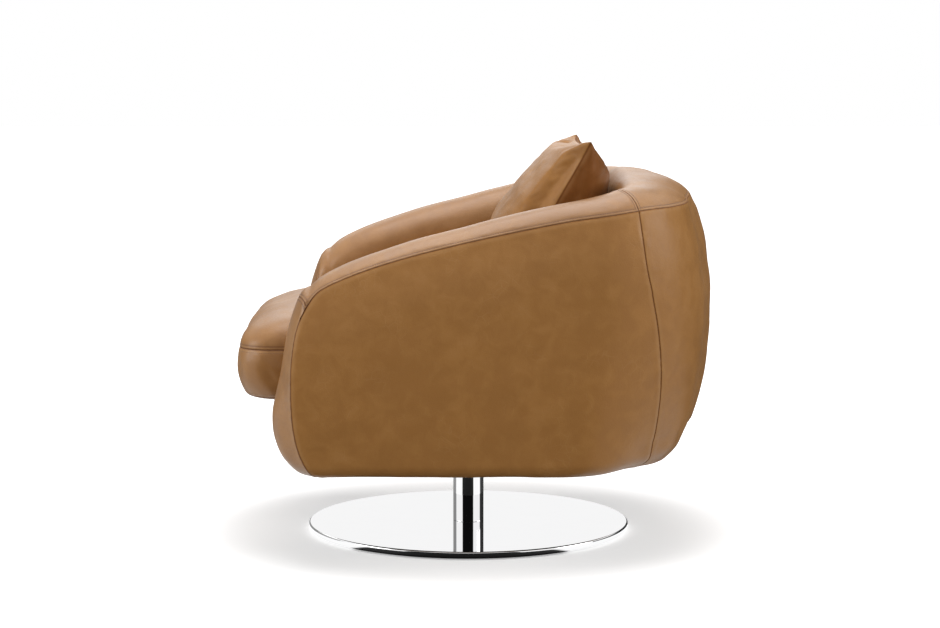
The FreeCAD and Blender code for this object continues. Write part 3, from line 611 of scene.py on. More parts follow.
def back_band(material):
    """Rolled band of the back, between the two cross seams."""
    left = back_cross()
    right = other_side(left)
    edges = {"bottom": np.linspace(left[0], right[0], 80), "left": left, "right": right,
             "top": inner_foot(left[-1, 0], right[-1, 0], 80)}
    sewn = ("bottom", "left", "right")
    return leather_panel("back_band", edges, (720.0, 520.0), 3.4, sewn, material, 41, 1.1, stitched=sewn)


def arm_front(material):
    """Rounded strip round the arm's front: three lines, outer seam, front and inner seam, with a
    cubic across from each to the next, upright at the inner seam and slanted at the outer one."""
    line, joint = body_seams()[:2]
    seam, across = in_space(line[:joint + 1]), in_space(front_cross())
    angle = np.linspace(np.arcsin(20.5 / NOSE_DEPTH), np.pi / 2, 200)

    def limb(end, power):
        height = mix(NOSE_HEIGHT, end, np.cos(angle) ** power)
        return np.stack([np.full(200, ARM_LINE_X), ARM_FRONT_Y - NOSE_DEPTH * np.sin(angle), height], 1)

    front = np.concatenate([limb(ARM_TOP, 1.7), limb(FOOT, 0.85)[::-1][1:-8], FRONT_TAIL])
    front = even(front, FRONT_ROWS)
    for _ in range(30):
        front[1:-1] = 0.5 * front[1:-1] + 0.25 * (front[:-2] + front[2:])
    front[:, 1] -= rise(FRONT_BELLY, front[:, 2])
    inner = curve_through(np.concatenate([across[-1:], INNER_SEAM]), FRONT_ROWS)
    w_out, w_in = steps(70.0, 4.0, True, False), steps(90.0, 4.0, False, True)
    places = np.concatenate([bridge(even(seam[::-1], FRONT_ROWS), front, w_out, True),
                             bridge(front, inner, w_in, False)[:, 1:]], 1)
    crown = across[:, 2].argmax()
    top_row = np.concatenate([shared(even(across[:crown + 1], 400), w_out),
                              shared(even(across[crown:], 400), w_in)[1:]])
    near = np.exp(-(np.arange(FRONT_ROWS) / 9.0) ** 2)[:, None, None]
    places = places + (top_row[None] - places[:1]) * near
    v = steps(FRONT_HEIGHT, 4.0, True, False)
    rows = np.stack([shared(column, v) for column in places.transpose(1, 0, 2)], 1)
    plane = np.stack(np.meshgrid(np.linspace(0, 120, rows.shape[1]), v * FRONT_HEIGHT), -1)
    lines = [seam, across, inner]
    return finish_panel("arm_front_left", rows, lines, [across], material, 53, 0.4, 0.6, plane)


def bridge(first, second, w, slanted):
    """Cubic from each point of one line to its partner on the other, with given end directions."""
    gap = second - first
    side = np.array([1.0, 0.0, 0.0]) * np.sign(gap[:, :1])
    ahead = gap - side * (gap * side).sum(1, keepdims=True)
    reach = np.linalg.norm(gap, axis=1, keepdims=True)
    flat = side * reach * 1.15
    start = (0.72 * side * reach + 1.25 * ahead) * 0.78 if slanted else flat
    finish = flat if slanted else ahead * 1.6
    return cubic(w[None, :, None], first[:, None], start[:, None], second[:, None], finish[:, None])


# ---------------------------------------------------------------- loose cushion and pillow

CUSHION = {"half": 287.0, "front": -413.0, "back": 231.0, "front_r": 58.0, "back_r": 120.0,
           "bottom": 281.1, "top": 452.0}
CUSHION_MIDDLE = np.array([0.0, -91.0, 350.0])
# Height and inward amount of the cover: below the lower seam, between the seams and above the upper one
LOWER_FORM = [(281.1, 46.0), (281.8, 33.0), (284.0, 22.0), (288.0, 15.5)]
BORDER_FORM = [(288.0, 15.5), (302.0, 8.0), (318.0, 2.8), (334.0, 0.2), (348.0, 0.0), (362.0, 1.4),
               (375.0, 4.4)]
CROWN_FORM = [(375.0, 4.4), (385.0, 5.6), (395.8, 9.2), (408.1, 17.6), (418.2, 30.5), (427.2, 50.0),
              (433.6, 72.0), (439.2, 96.0), (445.0, 126.0), (449.0, 162.0), (452.0, 205.0), (453.2, 255.0)]
UNDER_RINGS, LID_RINGS = (0.22, 0.46, 0.68, 0.86), (0.8, 0.55, 0.3, 0.12)
# The front corners hang down: shares for the distance to the right, to the left, to the front, and up
DROOP_RIGHT = [(60.0, 0.0), (110.0, 0.45), (170.0, 1.0), (300.0, 1.0)]
DROOP_LEFT = [(60.0, 0.0), (110.0, 0.2), (170.0, 0.4), (300.0, 0.4)]
DROOP_AHEAD = [(318.0, 0.0), (345.0, 0.35), (370.0, 0.9), (385.0, 1.0), (420.0, 1.0)]
DROOP_UP = [(378.0, 0.0), (392.0, 0.35), (408.0, 1.0), (460.0, 1.0)]
# Creases at a front corner: start, end, width and height
CREASES = [((268.0, -386.0, 367.0), (288.0, -341.0, 318.0), 6.5, -4.2),
           ((277.0, -374.0, 373.0), (289.0, -334.0, 334.0), 6.0, 2.6),
           ((286.0, -330.0, 366.0), (287.0, -296.0, 345.0), 7.0, -2.4),
           ((240.0, -411.0, 366.0), (262.0, -404.0, 322.0), 9.0, -1.6)]


def plan_line(drawn, count):
    """Outline of the cushion's plan drawn in by an amount, from the front's middle, towards +X."""
    w, f, b = CUSHION["half"] - drawn, CUSHION["front"] + drawn, CUSHION["back"] - drawn
    fr = min(CUSHION["front_r"] + 0.35 * drawn, w - 1)
    br = min(max(CUSHION["back_r"] - 0.1 * drawn, 20.0), w - 1)
    turn = np.linspace(0, np.pi / 2, 40)
    front = np.stack([w - fr + fr * np.sin(turn), f + fr - fr * np.cos(turn)], 1)
    back = np.stack([w - br + br * np.cos(turn), b - br + br * np.sin(turn)], 1)
    return both_halves(np.concatenate([[[0.0, f]], front, back, [[0.0, b]]]), count)


def both_halves(half, count):
    """Closed outline from its half on the +X side, at places an equal length apart."""
    return even(np.concatenate([half, (half * [-1, 1])[::-1][1:]]), count + 1)[:-1]


def cushion_grid(count=640):
    """Rows of the cushion's closed cover from its middle below, over both seams, to its middle above,
    and the numbers of the two seams' rows. Each row is the plan's outline drawn in by the form's
    amount at that height."""
    forms = []
    for form, start, end, pace in ((LOWER_FORM, False, True, 6.0), (BORDER_FORM, True, True, 4.0),
                                   (CROWN_FORM, True, False, 6.0)):
        line = curve_through(form, 600)
        forms.append(shared(line, steps(run_of(line)[-1], pace, start, end))[1 if forms else 0:])
    ring = np.stack([np.concatenate([plan_line(drawn, count), np.full((count, 1), z)], 1)
                     for z, drawn in np.concatenate(forms)])

    def inner_rings(shares, z, outer):
        return np.array([mix(np.array([*CUSHION_MIDDLE[:2], z]), outer, share) for share in shares])

    below = inner_rings(UNDER_RINGS, CUSHION["bottom"], ring[0])
    lid = inner_rings(LID_RINGS, CUSHION["top"] + 2.4, ring[-1])
    low = len(below) + len(forms[0]) - 1
    return np.concatenate([below, ring, lid]), low, low + len(forms[1])


def crease(places, start, end, width, height):
    """Ridge along a straight run: a bell across it that fades at both ends."""
    axis = end - start
    t = np.clip(((places - start) @ axis) / (axis @ axis), 0, 1)
    off = np.linalg.norm(places - start - t[..., None] * axis, axis=-1)
    return height * np.clip(np.sin(np.pi * t), 0, 1) ** 0.7 * np.exp(-(off / width) ** 2)


def front_droop(places):
    """How far the crown hangs down at its front corners, more at the right one than at the left."""
    x, y, z = np.moveaxis(places, -1, 0)
    return 8.0 * (rise(DROOP_RIGHT, -x) + rise(DROOP_LEFT, x)) * rise(DROOP_AHEAD, -y) * rise(DROOP_UP, z)


def make_cushion(material):
    """Closed cover of the seat cushion: a crowned top, a border between two sewn seams and an underside,
    with puckers at the seams, creases at the front corners and shallow waves."""
    ring, low, high = cushion_grid()
    ring[..., 2] -= front_droop(ring)
    rows, count = ring.shape[:2]
    normal = normals_of(np.concatenate([ring[:, -2:], ring, ring[:, :2]], 1))[:, 2:-2]
    normal = normal * np.sign((normal * (ring - CUSHION_MIDDLE)).sum())
    run = run_of(ring)
    above, below = run > run[high], run < run[low]
    d_low, d_high = np.abs(run - run[low]), np.abs(run - run[high])
    d = np.minimum(d_low, d_high)
    low_ring = ring * [1, 1, 0.12]
    pucker = ripple(low_ring, 34.0, 71) * 0.9 * np.exp(-d_high / 16.0)
    pucker += ripple(low_ring, 26.0, 72) * 0.5 * np.exp(-d_low / 10.0)
    wave = ripple(ring, (190.0, 150.0, 110.0), 73) * 0.8 + ripple(ring, (80.0, 60.0, 45.0), 74) * 0.25
    groove = stitch_groove(np.where(above | below, d, 99.0))
    move = -fold(d, 1.3) + 0.35 * np.exp(-((d - 7.0) / 6.0) ** 2) * (1 - np.exp(-d / 3.0)) - 0.4 * groove
    move += gathers(d, np.broadcast_to(np.linspace(0, 2300.0, count), d.shape), 76, 0.32)
    move += (pucker + wave * np.where(above, 1.0, 0.55)) * (1 - np.exp(-d / 12.0))
    for side in (1, -1):
        for start, end, width, height in CREASES:
            flip = np.array([side, 1, 1])
            move += crease(ring, start * flip, end * flip, width, height)
    calm = np.where(below, np.clip((ring[..., 2] - CUSHION["bottom"]) / 6.0, 0, 1), 1.0)
    out = ring + normal * (move * calm)[..., None]
    out[..., 2] = np.maximum(out[..., 2], CUSHION["bottom"])
    poles = [[*CUSHION_MIDDLE[:2], z] for z in (CUSHION["bottom"], out[-1, :, 2].mean() + 0.1)]
    first, size = np.arange(count), rows * count
    after, last, pole = np.roll(first, -1), size - count, np.full(count, size)
    faces = [grid_faces(rows, count, wrap=True), np.stack([after, first, pole, pole], 1),
             np.stack([last + first, last + after, pole + 1, pole + 1], 1)]
    around = np.broadcast_to(np.linspace(0, 2 * np.pi, count, endpoint=False), d.shape)
    uv = np.concatenate([np.stack([around * 0.3, run * MM], -1).reshape(-1, 2), np.zeros((2, 2))])
    masks = {"seam": np.append(d, [200.0, 200.0]) * MM, "stitch": np.append(groove, [0.0, 0.0])}
    piece = make_mesh("seat_cushion", np.concatenate([out.reshape(-1, 3), poles]), np.concatenate(faces),
                      material, uv=uv, masks=masks)
    SKINS["cushion"] = (out, normal, run, low, high)
    return face_outward(piece, CUSHION_MIDDLE)


PILLOW = {"half_width": 240.0, "half_height": 161.0, "front": 62.0, "back": 83.0, "lean": 29.0,
          "foot_y": 58.0, "foot_z": 452.6, "roll": 1.9}


def pillow_frame(spots):
    """From (across, up, out) in the pillow's own plane to places: it leans back and is rolled a little."""
    lean, roll = math.radians(PILLOW["lean"]), math.radians(PILLOW["roll"])
    across, upward, out = np.moveaxis(spots, -1, 0)
    x = across * math.cos(roll) - upward * math.sin(roll)
    up = upward * math.cos(roll) + across * math.sin(roll) + PILLOW["half_height"]
    y = PILLOW["foot_y"] + up * math.sin(lean) + out * math.cos(lean)
    z = PILLOW["foot_z"] + up * math.cos(lean) - out * math.sin(lean)
    return np.stack([x, y, z], -1)


def pillow_panel(u, v, side, share):
    """Half of the pillow: a dome over a rectangle whose sides bow in between its pointed corners."""
    uu, vv = np.meshgrid(u, v)
    w = PILLOW["half_width"] * (1 - 0.05 * (1 - vv ** 2)) * uu
    h = PILLOW["half_height"] * (1 - 0.02 * (1 - uu ** 2)) * vv
    full = (1 - np.abs(uu) ** 2.6) ** 0.62 * (1 - np.abs(vv) ** 2.3) ** 0.62
    depth = PILLOW["back"] * (1.0 + 0.33 * vv) if side > 0 else -PILLOW["front"] * (1.0 - 0.40 * vv)
    return np.stack([w, h, depth * full * share], -1)


def simulate(front, back, cap):
    """Blows two sewn grids up with the cloth solver and returns them, no point moved past a cap."""
    rows, columns = front.shape[:2]
    inside = np.zeros((rows, columns), bool)
    inside[1:-1, 1:-1] = True
    index_front = np.arange(rows * columns).reshape(rows, columns)
    index_back = index_front.copy()
    index_back[inside] = rows * columns + np.arange(inside.sum())
    places = np.concatenate([front.reshape(-1, 3), back[inside]])
    faces = grid_faces(rows, columns)
    both = np.concatenate([index_front.ravel()[faces][:, ::-1], index_back.ravel()[faces]])
    body = face_outward(make_mesh("cloth_work", places, both, None), places.mean(0))
    cloth = body.modifiers.new("Cloth", "CLOTH")
    for key, value in {"quality": 6, "mass": 0.5, "tension_stiffness": 25, "compression_stiffness": 25,
                       "shear_stiffness": 8, "bending_stiffness": 1.2, "use_pressure": True,
                       "uniform_pressure_force": 4.0}.items():
        setattr(cloth.settings, key, value)
    cloth.settings.effector_weights.gravity = 0.0
    cloth.point_cache.frame_start, cloth.point_cache.frame_end = 1, 20
    scene = bpy.context.scene
    for number in range(1, 21):
        scene.frame_set(number)
    shape = body.evaluated_get(bpy.context.evaluated_depsgraph_get())
    move = read(shape.data.vertices, "co", 3) / MM - places
    scene.frame_set(1)
    mesh = body.data
    bpy.data.objects.remove(body)
    bpy.data.meshes.remove(mesh)
    move *= np.minimum(1.0, cap / np.maximum(np.linalg.norm(move, axis=1, keepdims=True), 1e-9))
    return (places + move)[index_front], (places + move)[index_back]


def refine(grid, u_from, v_from, u_to, v_to):
    """Cubic resampling of a grid of places to other shares of its two directions."""
    def along(values, x, want):
        k = np.clip(np.searchsorted(x, want, side="right") - 1, 0, len(x) - 2)
        slope = np.gradient(values, x, axis=0)
        step = x[k + 1] - x[k]
        t, h = ((want - x[k]) / step)[:, None, None], step[:, None, None]
        return cubic(t, values[k], h * slope[k], values[k + 1], h * slope[k + 1])

    return along(along(grid, v_from, v_to).transpose(1, 0, 2), u_from, u_to).transpose(1, 0, 2)


def make_pillow(front_skin, back_skin):
    """The pillow's two halves: domes blown up by the cloth solver, then drawn back so that the four
    corners stay where they were, with puckers along the seam and shallow waves."""
    u, v = np.linspace(-1, 1, 97), np.linspace(-1, 1, 65)
    wide, high = (np.sin(t * np.pi / 2) * 0.35 + t * 0.65 for t in (u, v))
    share = 0.93
    front, back = (pillow_frame(pillow_panel(wide, high, side, share)) for side in (-1, 1))
    rest = front[::len(v) - 1, ::len(u) - 1].copy()
    front, back = simulate(front, back, 15.0)
    slip = front[::len(v) - 1, ::len(u) - 1] - rest
    uu, vv = (t[..., None] for t in np.meshgrid((u + 1) / 2, (v + 1) / 2))
    slip = mix(mix(slip[0, 0], slip[0, 1], uu), mix(slip[1, 0], slip[1, 1], uu), vv)
    front, back = front - slip, back - slip
    middle = 0.5 * (front.mean((0, 1)) + back.mean((0, 1)))
    u_to, v_to = steps(480.0, 4.0) * 2 - 1, steps(316.0, 4.0) * 2 - 1
    uv = np.stack(np.meshgrid(u_to * 0.24, v_to * 0.158), -1)
    pieces = []
    for name, grid, skin, seed in (("pillow_front_leather", front, front_skin, 81),
                                   ("pillow_back_leather", back, back_skin, 91)):
        fine = refine(grid, u, v, u_to, v_to)
        normal = normals_of(fine)
        normal = normal * np.sign(((fine - middle) * normal).sum())
        d, along = distance_to(fine, [fine[0], fine[-1], fine[:, 0], fine[:, -1]])
        wave = ripple(fine, (130.0, 90.0, 60.0), seed) + ripple(fine, (46.0, 34.0, 22.0), seed + 1) * 0.25
        pull = ripple(fine, (34.0, 30.0, 30.0), seed + 2) * 1.1 * np.exp(-d / 24.0)
        move = (wave + pull) * (1 - np.exp(-d / 16.0))
        move += 0.5 * (1 - np.exp(-(d / 3.0) ** 2)) * np.exp(-d / 9.0)
        move += gathers(d, along, seed + 3, 0.5, 14.0) * (1 - np.exp(-d / 4.0))
        piece = make_mesh(name, fine + normal * move[..., None], grid_faces(*fine.shape[:2]), skin, uv=uv,
                          masks={"seam": d * MM})
        pieces.append(face_outward(piece, middle))
    return pieces


# ---------------------------------------------------------------- base and deck

BOLT_HOLE, DISC_UNDER, DISC_TOP, DISC_R = 8.2, 3.0, 15.0, 300.0
TUBE_OUTER, TUBE_INNER, TUBE_LOW, TUBE_HIGH = 28.5, 25.5, 15.0, 145.0
STRAPS, STRAP_WIDE = 5, 60.0
DUST_FRONT, TONGUE, DUST_HOLE = -272.0, 264.0, 100.3


def lathe(name, profile, material, count):
    """Closed profile of (radius, height) pairs turned round the swivel axis."""
    p = np.array(profile, float)
    angle = np.linspace(0, 2 * np.pi, count, endpoint=False)
    ring = np.stack([np.cos(angle), np.sin(angle)], -1)
    heights = np.broadcast_to(p[:, None, 1:], (len(p), count, 1))
    places = np.concatenate([p[:, None, :1] * ring[None], heights], -1)
    return face_each_out(make_mesh(name, places, grid_faces(len(p), count, wrap=True, closed=True), material))


def rounding(radius, height, turn, upper, count):
    """Quarter round of a profile about a point, of its lower or upper outer edge."""
    angle = np.linspace(0, np.pi / 2, count) - (0 if upper else np.pi / 2)
    return [(radius + turn * math.cos(a), height + turn * math.sin(a)) for a in angle]


def make_disc(material):
    """The chrome disc: a rounded rim turned round the axis, closed by flat rings towards the bolt hole."""
    turn = 3.4
    inside = DISC_R - turn
    profile = [(BOLT_HOLE, 10.2), (15.2, 10.2)] + [(r, DISC_UNDER) for r in (15.2, 60.0, 200.0, inside - 0.6)]
    profile += rounding(inside, DISC_UNDER + turn, turn, False, 9)
    profile += rounding(inside, DISC_TOP - turn, turn, True, 9)
    profile += [(r, DISC_TOP) for r in (inside - 0.6, inside - 3.0, 240.0, 150.0, 60.0, 28.0, BOLT_HOLE)]
    return lathe("base_disc_chrome", profile, material, 256)


def make_column(material):
    """The chrome tube with small rounds at its two ends."""
    profile = [(TUBE_INNER, TUBE_LOW + 0.6)] + rounding(TUBE_OUTER - 0.6, TUBE_LOW + 0.6, 0.6, False, 6)
    profile += [(TUBE_OUTER, z) for z in (TUBE_LOW + 1.5, 60.0, 110.0, TUBE_HIGH - 1.8)]
    profile += rounding(TUBE_OUTER - 0.8, TUBE_HIGH - 0.8, 0.8, True, 6)
    return lathe("column_chrome", profile + [(TUBE_INNER, TUBE_HIGH), (TUBE_INNER, 80.0)], material, 160)


def make_felt(material):
    """Felt pad under the disc, with a rounded rim."""
    profile = [(0.3, 0.0), (120.0, 0.0), (230.0, 0.0)] + rounding(285.2, 0.8, 0.8, False, 5)
    profile += rounding(285.2, 2.2, 0.8, True, 5) + [(230.0, 3.0), (120.0, 3.0), (0.3, 3.0)]
    return lathe("floor_felt_pad", profile, material, 160)


def rim_distance(a, b, low, high):
    """Distance of places from the nearest side of a rectangle."""
    return np.minimum(np.minimum(a - low[0], high[0] - a), np.minimum(b - low[1], high[1] - b))


def slab(name, low, high, material, turn, weave):
    """Soft rectangular slab: two levels whose rim is rounded over."""
    def spread(k):
        count = max(8, int((high[k] - low[k]) / weave))
        return mix(low[k], high[k], (1 - np.cos(np.linspace(0, np.pi, count))) / 2)

    gx, gy = np.meshgrid(spread(0), spread(1))
    drop = fold(rim_distance(gx, gy, low, high), min(turn, (high[2] - low[2]) / 2))
    top, under = (np.stack([gx, gy, z], -1) for z in (high[2] - drop, low[2] + drop))
    return two_sided(name, top, under, material)


def joined(name, pieces):
    """One object from several, its meshes put together as whole arrays."""
    places, quads, count = [], [], 0
    material = pieces[0].data.materials[0]
    for piece in pieces:
        mesh = piece.data
        places.append(read(mesh.vertices, "co", 3) / MM)
        quads.append(read(mesh.loops, "vertex_index", 1, np.int32).reshape(-1, 4) + count)
        count += len(mesh.vertices)
        bpy.data.objects.remove(piece)
        bpy.data.meshes.remove(mesh)
    return make_mesh(name, np.concatenate(places), np.concatenate(quads), material)


def make_straps(node, material):
    """Woven straps of the deck, each a thin band with rounded edges, side by side along x or y."""
    low, high = box_of(node)
    k = 0 if node == "long_straps" else 1
    straps = []
    for number in range(STRAPS):
        first, last = low.copy(), high.copy()
        first[k] = mix(low[k], high[k] - STRAP_WIDE, number / (STRAPS - 1))
        last[k] = first[k] + STRAP_WIDE
        straps.append(slab(node + str(number), first, last, material, 0.9, 7.0))
    return joined(node + "_woven", straps)


def make_dust_cover(material):
    """Cloth stapled under the body: rays from a square window out to the plan's outline, which is a
    straight front with a tongue, two sides and a half-round back. It hangs a little between them."""
    low, high = box_of("dust_cover")
    side, back = high[:2]
    round_r = CORNER_R - (ARM_LINE_X - side)
    turn = np.linspace(0, np.pi / 2, 40)
    bend = np.stack([side - round_r + round_r * np.cos(turn), back - round_r + round_r * np.sin(turn)], 1)
    front = [[0.0, low[1]], [TONGUE, low[1]], [TONGUE, DUST_FRONT], [side, DUST_FRONT]]
    line = both_halves(np.concatenate([front, bend, [[0.0, back]]]), 720)
    inner = line * (DUST_HOLE / np.abs(line).max(1, keepdims=True))
    share = np.linspace(0, 1, 22)[:, None, None]
    flat = mix(inner[None], line[None], share)
    under = np.concatenate([flat, np.zeros(flat.shape[:2] + (1,))], -1)
    hang = np.sin(np.pi * share[..., 0]) * (1.2 + 0.5 * ripple(under, 120.0, 111))
    over = under[::-1].copy()
    under[..., 2], over[..., 2] = low[2] - hang, high[2] - hang[::-1]
    loop = np.concatenate([under, over])
    piece = make_mesh("dust_cloth", loop, grid_faces(len(loop), len(line), wrap=True, closed=True), material)
    x, y = line.T
    area = 0.5 * abs(np.dot(x, np.roll(y, -1)) - np.dot(y, np.roll(x, -1))) - 4 * DUST_HOLE ** 2
    return face_each_out(piece), tuple((high - low)[:2] * MM), area * MM * MM


def make_apron(material):
    """Leather strip in front of the deck's front rail, with its edges rolled over."""
    low, high = box_of("front_apron")
    x, z = (mix(low[k], high[k], steps(high[k] - low[k], pace)) for k, pace in ((0, 8.0), (2, 6.0)))
    gx, gz = np.meshgrid(x, z)
    front, back = (np.stack([gx, np.full_like(gx, y), gz], -1) for y in (low[1], high[1]))
    edge = rim_distance(gx, gz, low[::2], high[::2])
    wave = ripple(front, (140.0, 90.0, 60.0), 101) * 0.7
    front[..., 1] += fold(edge, 1.4) - wave * (1 - np.exp(-edge / 20.0)) - 0.4
    return two_sided("front_apron_leather", front, back, material, {"seam": np.stack([edge, edge]) * MM})


# ---------------------------------------------------------------- materials

class Value:
    """Output of a node that can be added, taken away and multiplied: each sign adds a math node."""

    def __init__(self, tree, socket):
        self.tree, self.socket = tree, socket

    def __add__(self, other):
        return self.tree.math("ADD", self, other)

    def __sub__(self, other):
        return self.tree.math("SUBTRACT", self, other)

    def __rsub__(self, other):
        return self.tree.math("SUBTRACT", other, self)

    def __mul__(self, other):
        return self.tree.math("MULTIPLY", self, other)

    def __truediv__(self, other):
        return self.tree.math("DIVIDE", self, other)

    def range(self, low, high, to_low=0.0, to_high=1.0):
        """The value taken smoothly from one range to another."""
        return self.tree.add("ShaderNodeMapRange", {0: self, 1: low, 2: high, 3: to_low, 4: to_high},
                             interpolation_type="SMOOTHSTEP").value(0)


class Placed:
    """A node in a tree, whose outputs can be asked for as values."""

    def __init__(self, tree, node):
        self.tree, self.node = tree, node

    def value(self, key=0):
        """One of the node's outputs."""
        return Value(self.tree, self.node.outputs[key])

    def put(self, values):
        """Sets inputs to constants or joins them to other nodes' outputs."""
        for key, value in values.items():
            socket = self.node.inputs[key]
            if isinstance(value, Value):
                self.tree.tree.links.new(value.socket, socket)
            elif isinstance(value, tuple) and socket.type == "RGBA":
                socket.default_value = value + (1.0,) * (4 - len(value))
            else:
                socket.default_value = value
        return self


class Tree:
    """Short way to place nodes and join them."""

    def __init__(self, tree):
        self.tree = tree

    def add(self, kind, values=(), **settings):
        """New node with its settings and inputs."""
        node = self.tree.nodes.new(kind)
        for key, value in settings.items():
            setattr(node, key, value)
        return Placed(self, node).put(dict(values))

    def math(self, operation, first, second):
        """Two values reckoned into one."""
        return self.add("ShaderNodeMath", {0: first, 1: second}, operation=operation).value()

    def mix(self, share, first, second):
        """Colour at a share of the way from the first to the second."""
        return self.add("ShaderNodeMix", {0: share, 6: first, 7: second}, data_type="RGBA").value(2)

    def noise(self, vector, scale, detail=2.0, rough=0.5, distort=0.0):
        """Soft noise."""
        return self.add("ShaderNodeTexNoise", {"Vector": vector, "Scale": scale, "Detail": detail,
                                               "Roughness": rough, "Distortion": distort}).value()

    def cells(self, vector, scale, feature="F1"):
        """Distance within a pattern of cells."""
        node = self.add("ShaderNodeTexVoronoi", {"Vector": vector, "Scale": scale}, feature=feature)
        return node.value("Distance")

    def sway(self, vector, shift, amount):
        """Vector moved by another one times an amount."""
        inputs = {0: shift, 1: amount, 2: vector}
        return self.add("ShaderNodeVectorMath", inputs, operation="MULTIPLY_ADD").value()

    def group(self, name, **values):
        """Node of a shared group with its inputs."""
        return self.add("ShaderNodeGroup", node_tree=group_of(name)).put(values)


def new_group(name, outputs, **inputs):
    """Empty node group, as its tree, its inputs as values and its output node. An input with no
    default is a vector, one with four numbers a colour and any other a number."""
    group = bpy.data.node_groups.new(name, "ShaderNodeTree")
    for label, value in inputs.items():
        kind = "Vector" if value is None else "Color" if isinstance(value, tuple) else "Float"
        socket = group.interface.new_socket(label, in_out="INPUT", socket_type="NodeSocket" + kind)
        if value is not None:
            socket.default_value = value
    for label in outputs:
        kind = "Color" if label == "Color" else "Float"
        group.interface.new_socket(label, in_out="OUTPUT", socket_type="NodeSocket" + kind)
    tree = Tree(group)
    enter = tree.add("NodeGroupInput")
    return tree, [enter.value(label) for label in inputs], tree.add("NodeGroupOutput")


def hide_group():
    """Grain, pores and mottling of an aniline hide, a paler band beside its seams, and painted shade along
    its seams and in its stitches' grooves.
    """
    t, (vector, seam, stitch, base, dark, pale, mottle), leave = new_group(
        "Hide", ("Color", "Roughness", "Height"), Vector=None, Seam=0.05, Stitch=0.0, Base=(0.4, 0.2, 0.1, 1),
        Dark=(0.2, 0.1, 0.05, 1), Pale=(0.6, 0.4, 0.2, 1), Mottle=1.0)
    patchy = t.noise(vector, 30.0, 4.0, 0.6, 0.5)
    fleck = t.noise(vector, 260.0, 3.0, 0.6)
    blend = t.noise(vector, 7.0, 3.0, 0.5, 0.3) * 0.5 + patchy * 0.5
    color = t.mix((1.0 - blend.range(0.40, 0.60)) * (mottle * 0.26), base, dark)
    color = t.mix(blend.range(0.52, 0.68) * (mottle * 0.10), color, pale)
    color = t.mix(fleck.range(0.55, 0.75, 0.0, 0.10), color, dark)
    loose = t.add("ShaderNodeTexNoise", {"Vector": vector, "Scale": 24.0}).value("Color")
    lines = t.cells(t.sway(vector, loose, (0.03, 0.03, 0.03)), 58.0, "DISTANCE_TO_EDGE")
    wrinkle = lines.range(0.0, 0.06, 1.0, 0.0) * t.noise(vector, 15.0).range(0.50, 0.68)
    color = t.mix(wrinkle * 0.10, color, pale)
    # Painted shade: the colour darkens within about 2 mm of a seam, where the seam's hollow lies in shade
    shade = seam.range(0.0006, 0.0021, 0.95, 0.0)
    color = t.mix(shade, color, dark)
    # A paler band from about 2 to 11 mm beside each seam
    pale_band_by_seam = seam.range(0.0018, 0.0035, 0.0, 0.16) * seam.range(0.0035, 0.011, 1.0, 0.0)
    # Painted shade in the stitches' groove: the colour darkens along each stitched row
    color = t.mix(stitch * 0.85, t.mix(pale_band_by_seam, color, pale), dark)
    warp = t.noise(vector, 90.0)
    spread = t.add("ShaderNodeCombineXYZ", {number: warp for number in range(3)}).value()
    pebble = t.cells(t.sway(vector, spread, (0.004, 0.003, 0.004)), 620.0, "SMOOTH_F1")
    grain = pebble.range(0.1, 0.75, 1.0, 0.0) * 0.55 + t.cells(vector, 1500.0).range(0.0, 0.35) * 0.22
    height = grain + t.noise(vector, 150.0, 4.0, 0.65, 0.6) * 0.8 - wrinkle * 0.6
    rough = patchy.range(0.3, 0.7, 0.32, 0.40) + fleck.range(0.3, 0.7, -0.03, 0.04) + shade * 0.4
    leave.put({"Color": color, "Roughness": rough, "Height": height})
    return t.tree


def weave_group():
    """Over and under of two threads, with loose fibre."""
    t, (vector, pitch, base, dark), leave = new_group(
        "Weave", ("Color", "Height"), Vector=None, Pitch=700.0, Base=(0.1, 0.1, 0.1, 1),
        Dark=(0.02, 0.02, 0.02, 1))
    split = t.add("ShaderNodeSeparateXYZ", {0: vector})
    over, under = (t.add("ShaderNodeMath", {0: split.value(number) * pitch}, operation="SINE").value()
                   for number in (0, 1))
    height = over * under * 0.5 + t.noise(vector, 1400.0, 3.0, 0.7)
    leave.put({"Color": t.mix(height.range(0.1, 0.9), dark, base), "Height": height})
    return t.tree


def fleck_group():
    """Fine scratches and dust marks for metal and paint."""
    t, (vector, low, high), leave = new_group(
        "Handling", ("Roughness", "Mask"), Vector=None, Low=0.05, High=0.15)
    mask = t.noise(vector, 22.0, 5.0, 0.6, 0.3) * 0.7 + t.noise(vector, 700.0) * 0.3
    share = mask.range(0.35, 0.7)
    leave.put({"Roughness": low + share * (high - low), "Mask": share})
    return t.tree


def wood_group():
    """Growth rings stretched along one direction, with pores."""
    t, (vector, base, dark), leave = new_group(
        "Timber", ("Color", "Height"), Vector=None, Base=(0.5, 0.3, 0.15, 1), Dark=(0.3, 0.17, 0.08, 1))
    wave = t.noise(vector, 14.0, 4.0, 0.5, 1.2) * 9.0
    rings = t.add("ShaderNodeMath", {0: wave}, operation="FRACT").value()
    pore = t.noise(vector, 420.0, 2.0, 0.6)
    color = t.mix(rings.range(0.2, 0.95, 0.0, 0.55), base, dark)
    leave.put({"Color": t.mix(pore.range(0.58, 0.72, 0.0, 0.4), color, dark), "Height": rings - pore})
    return t.tree


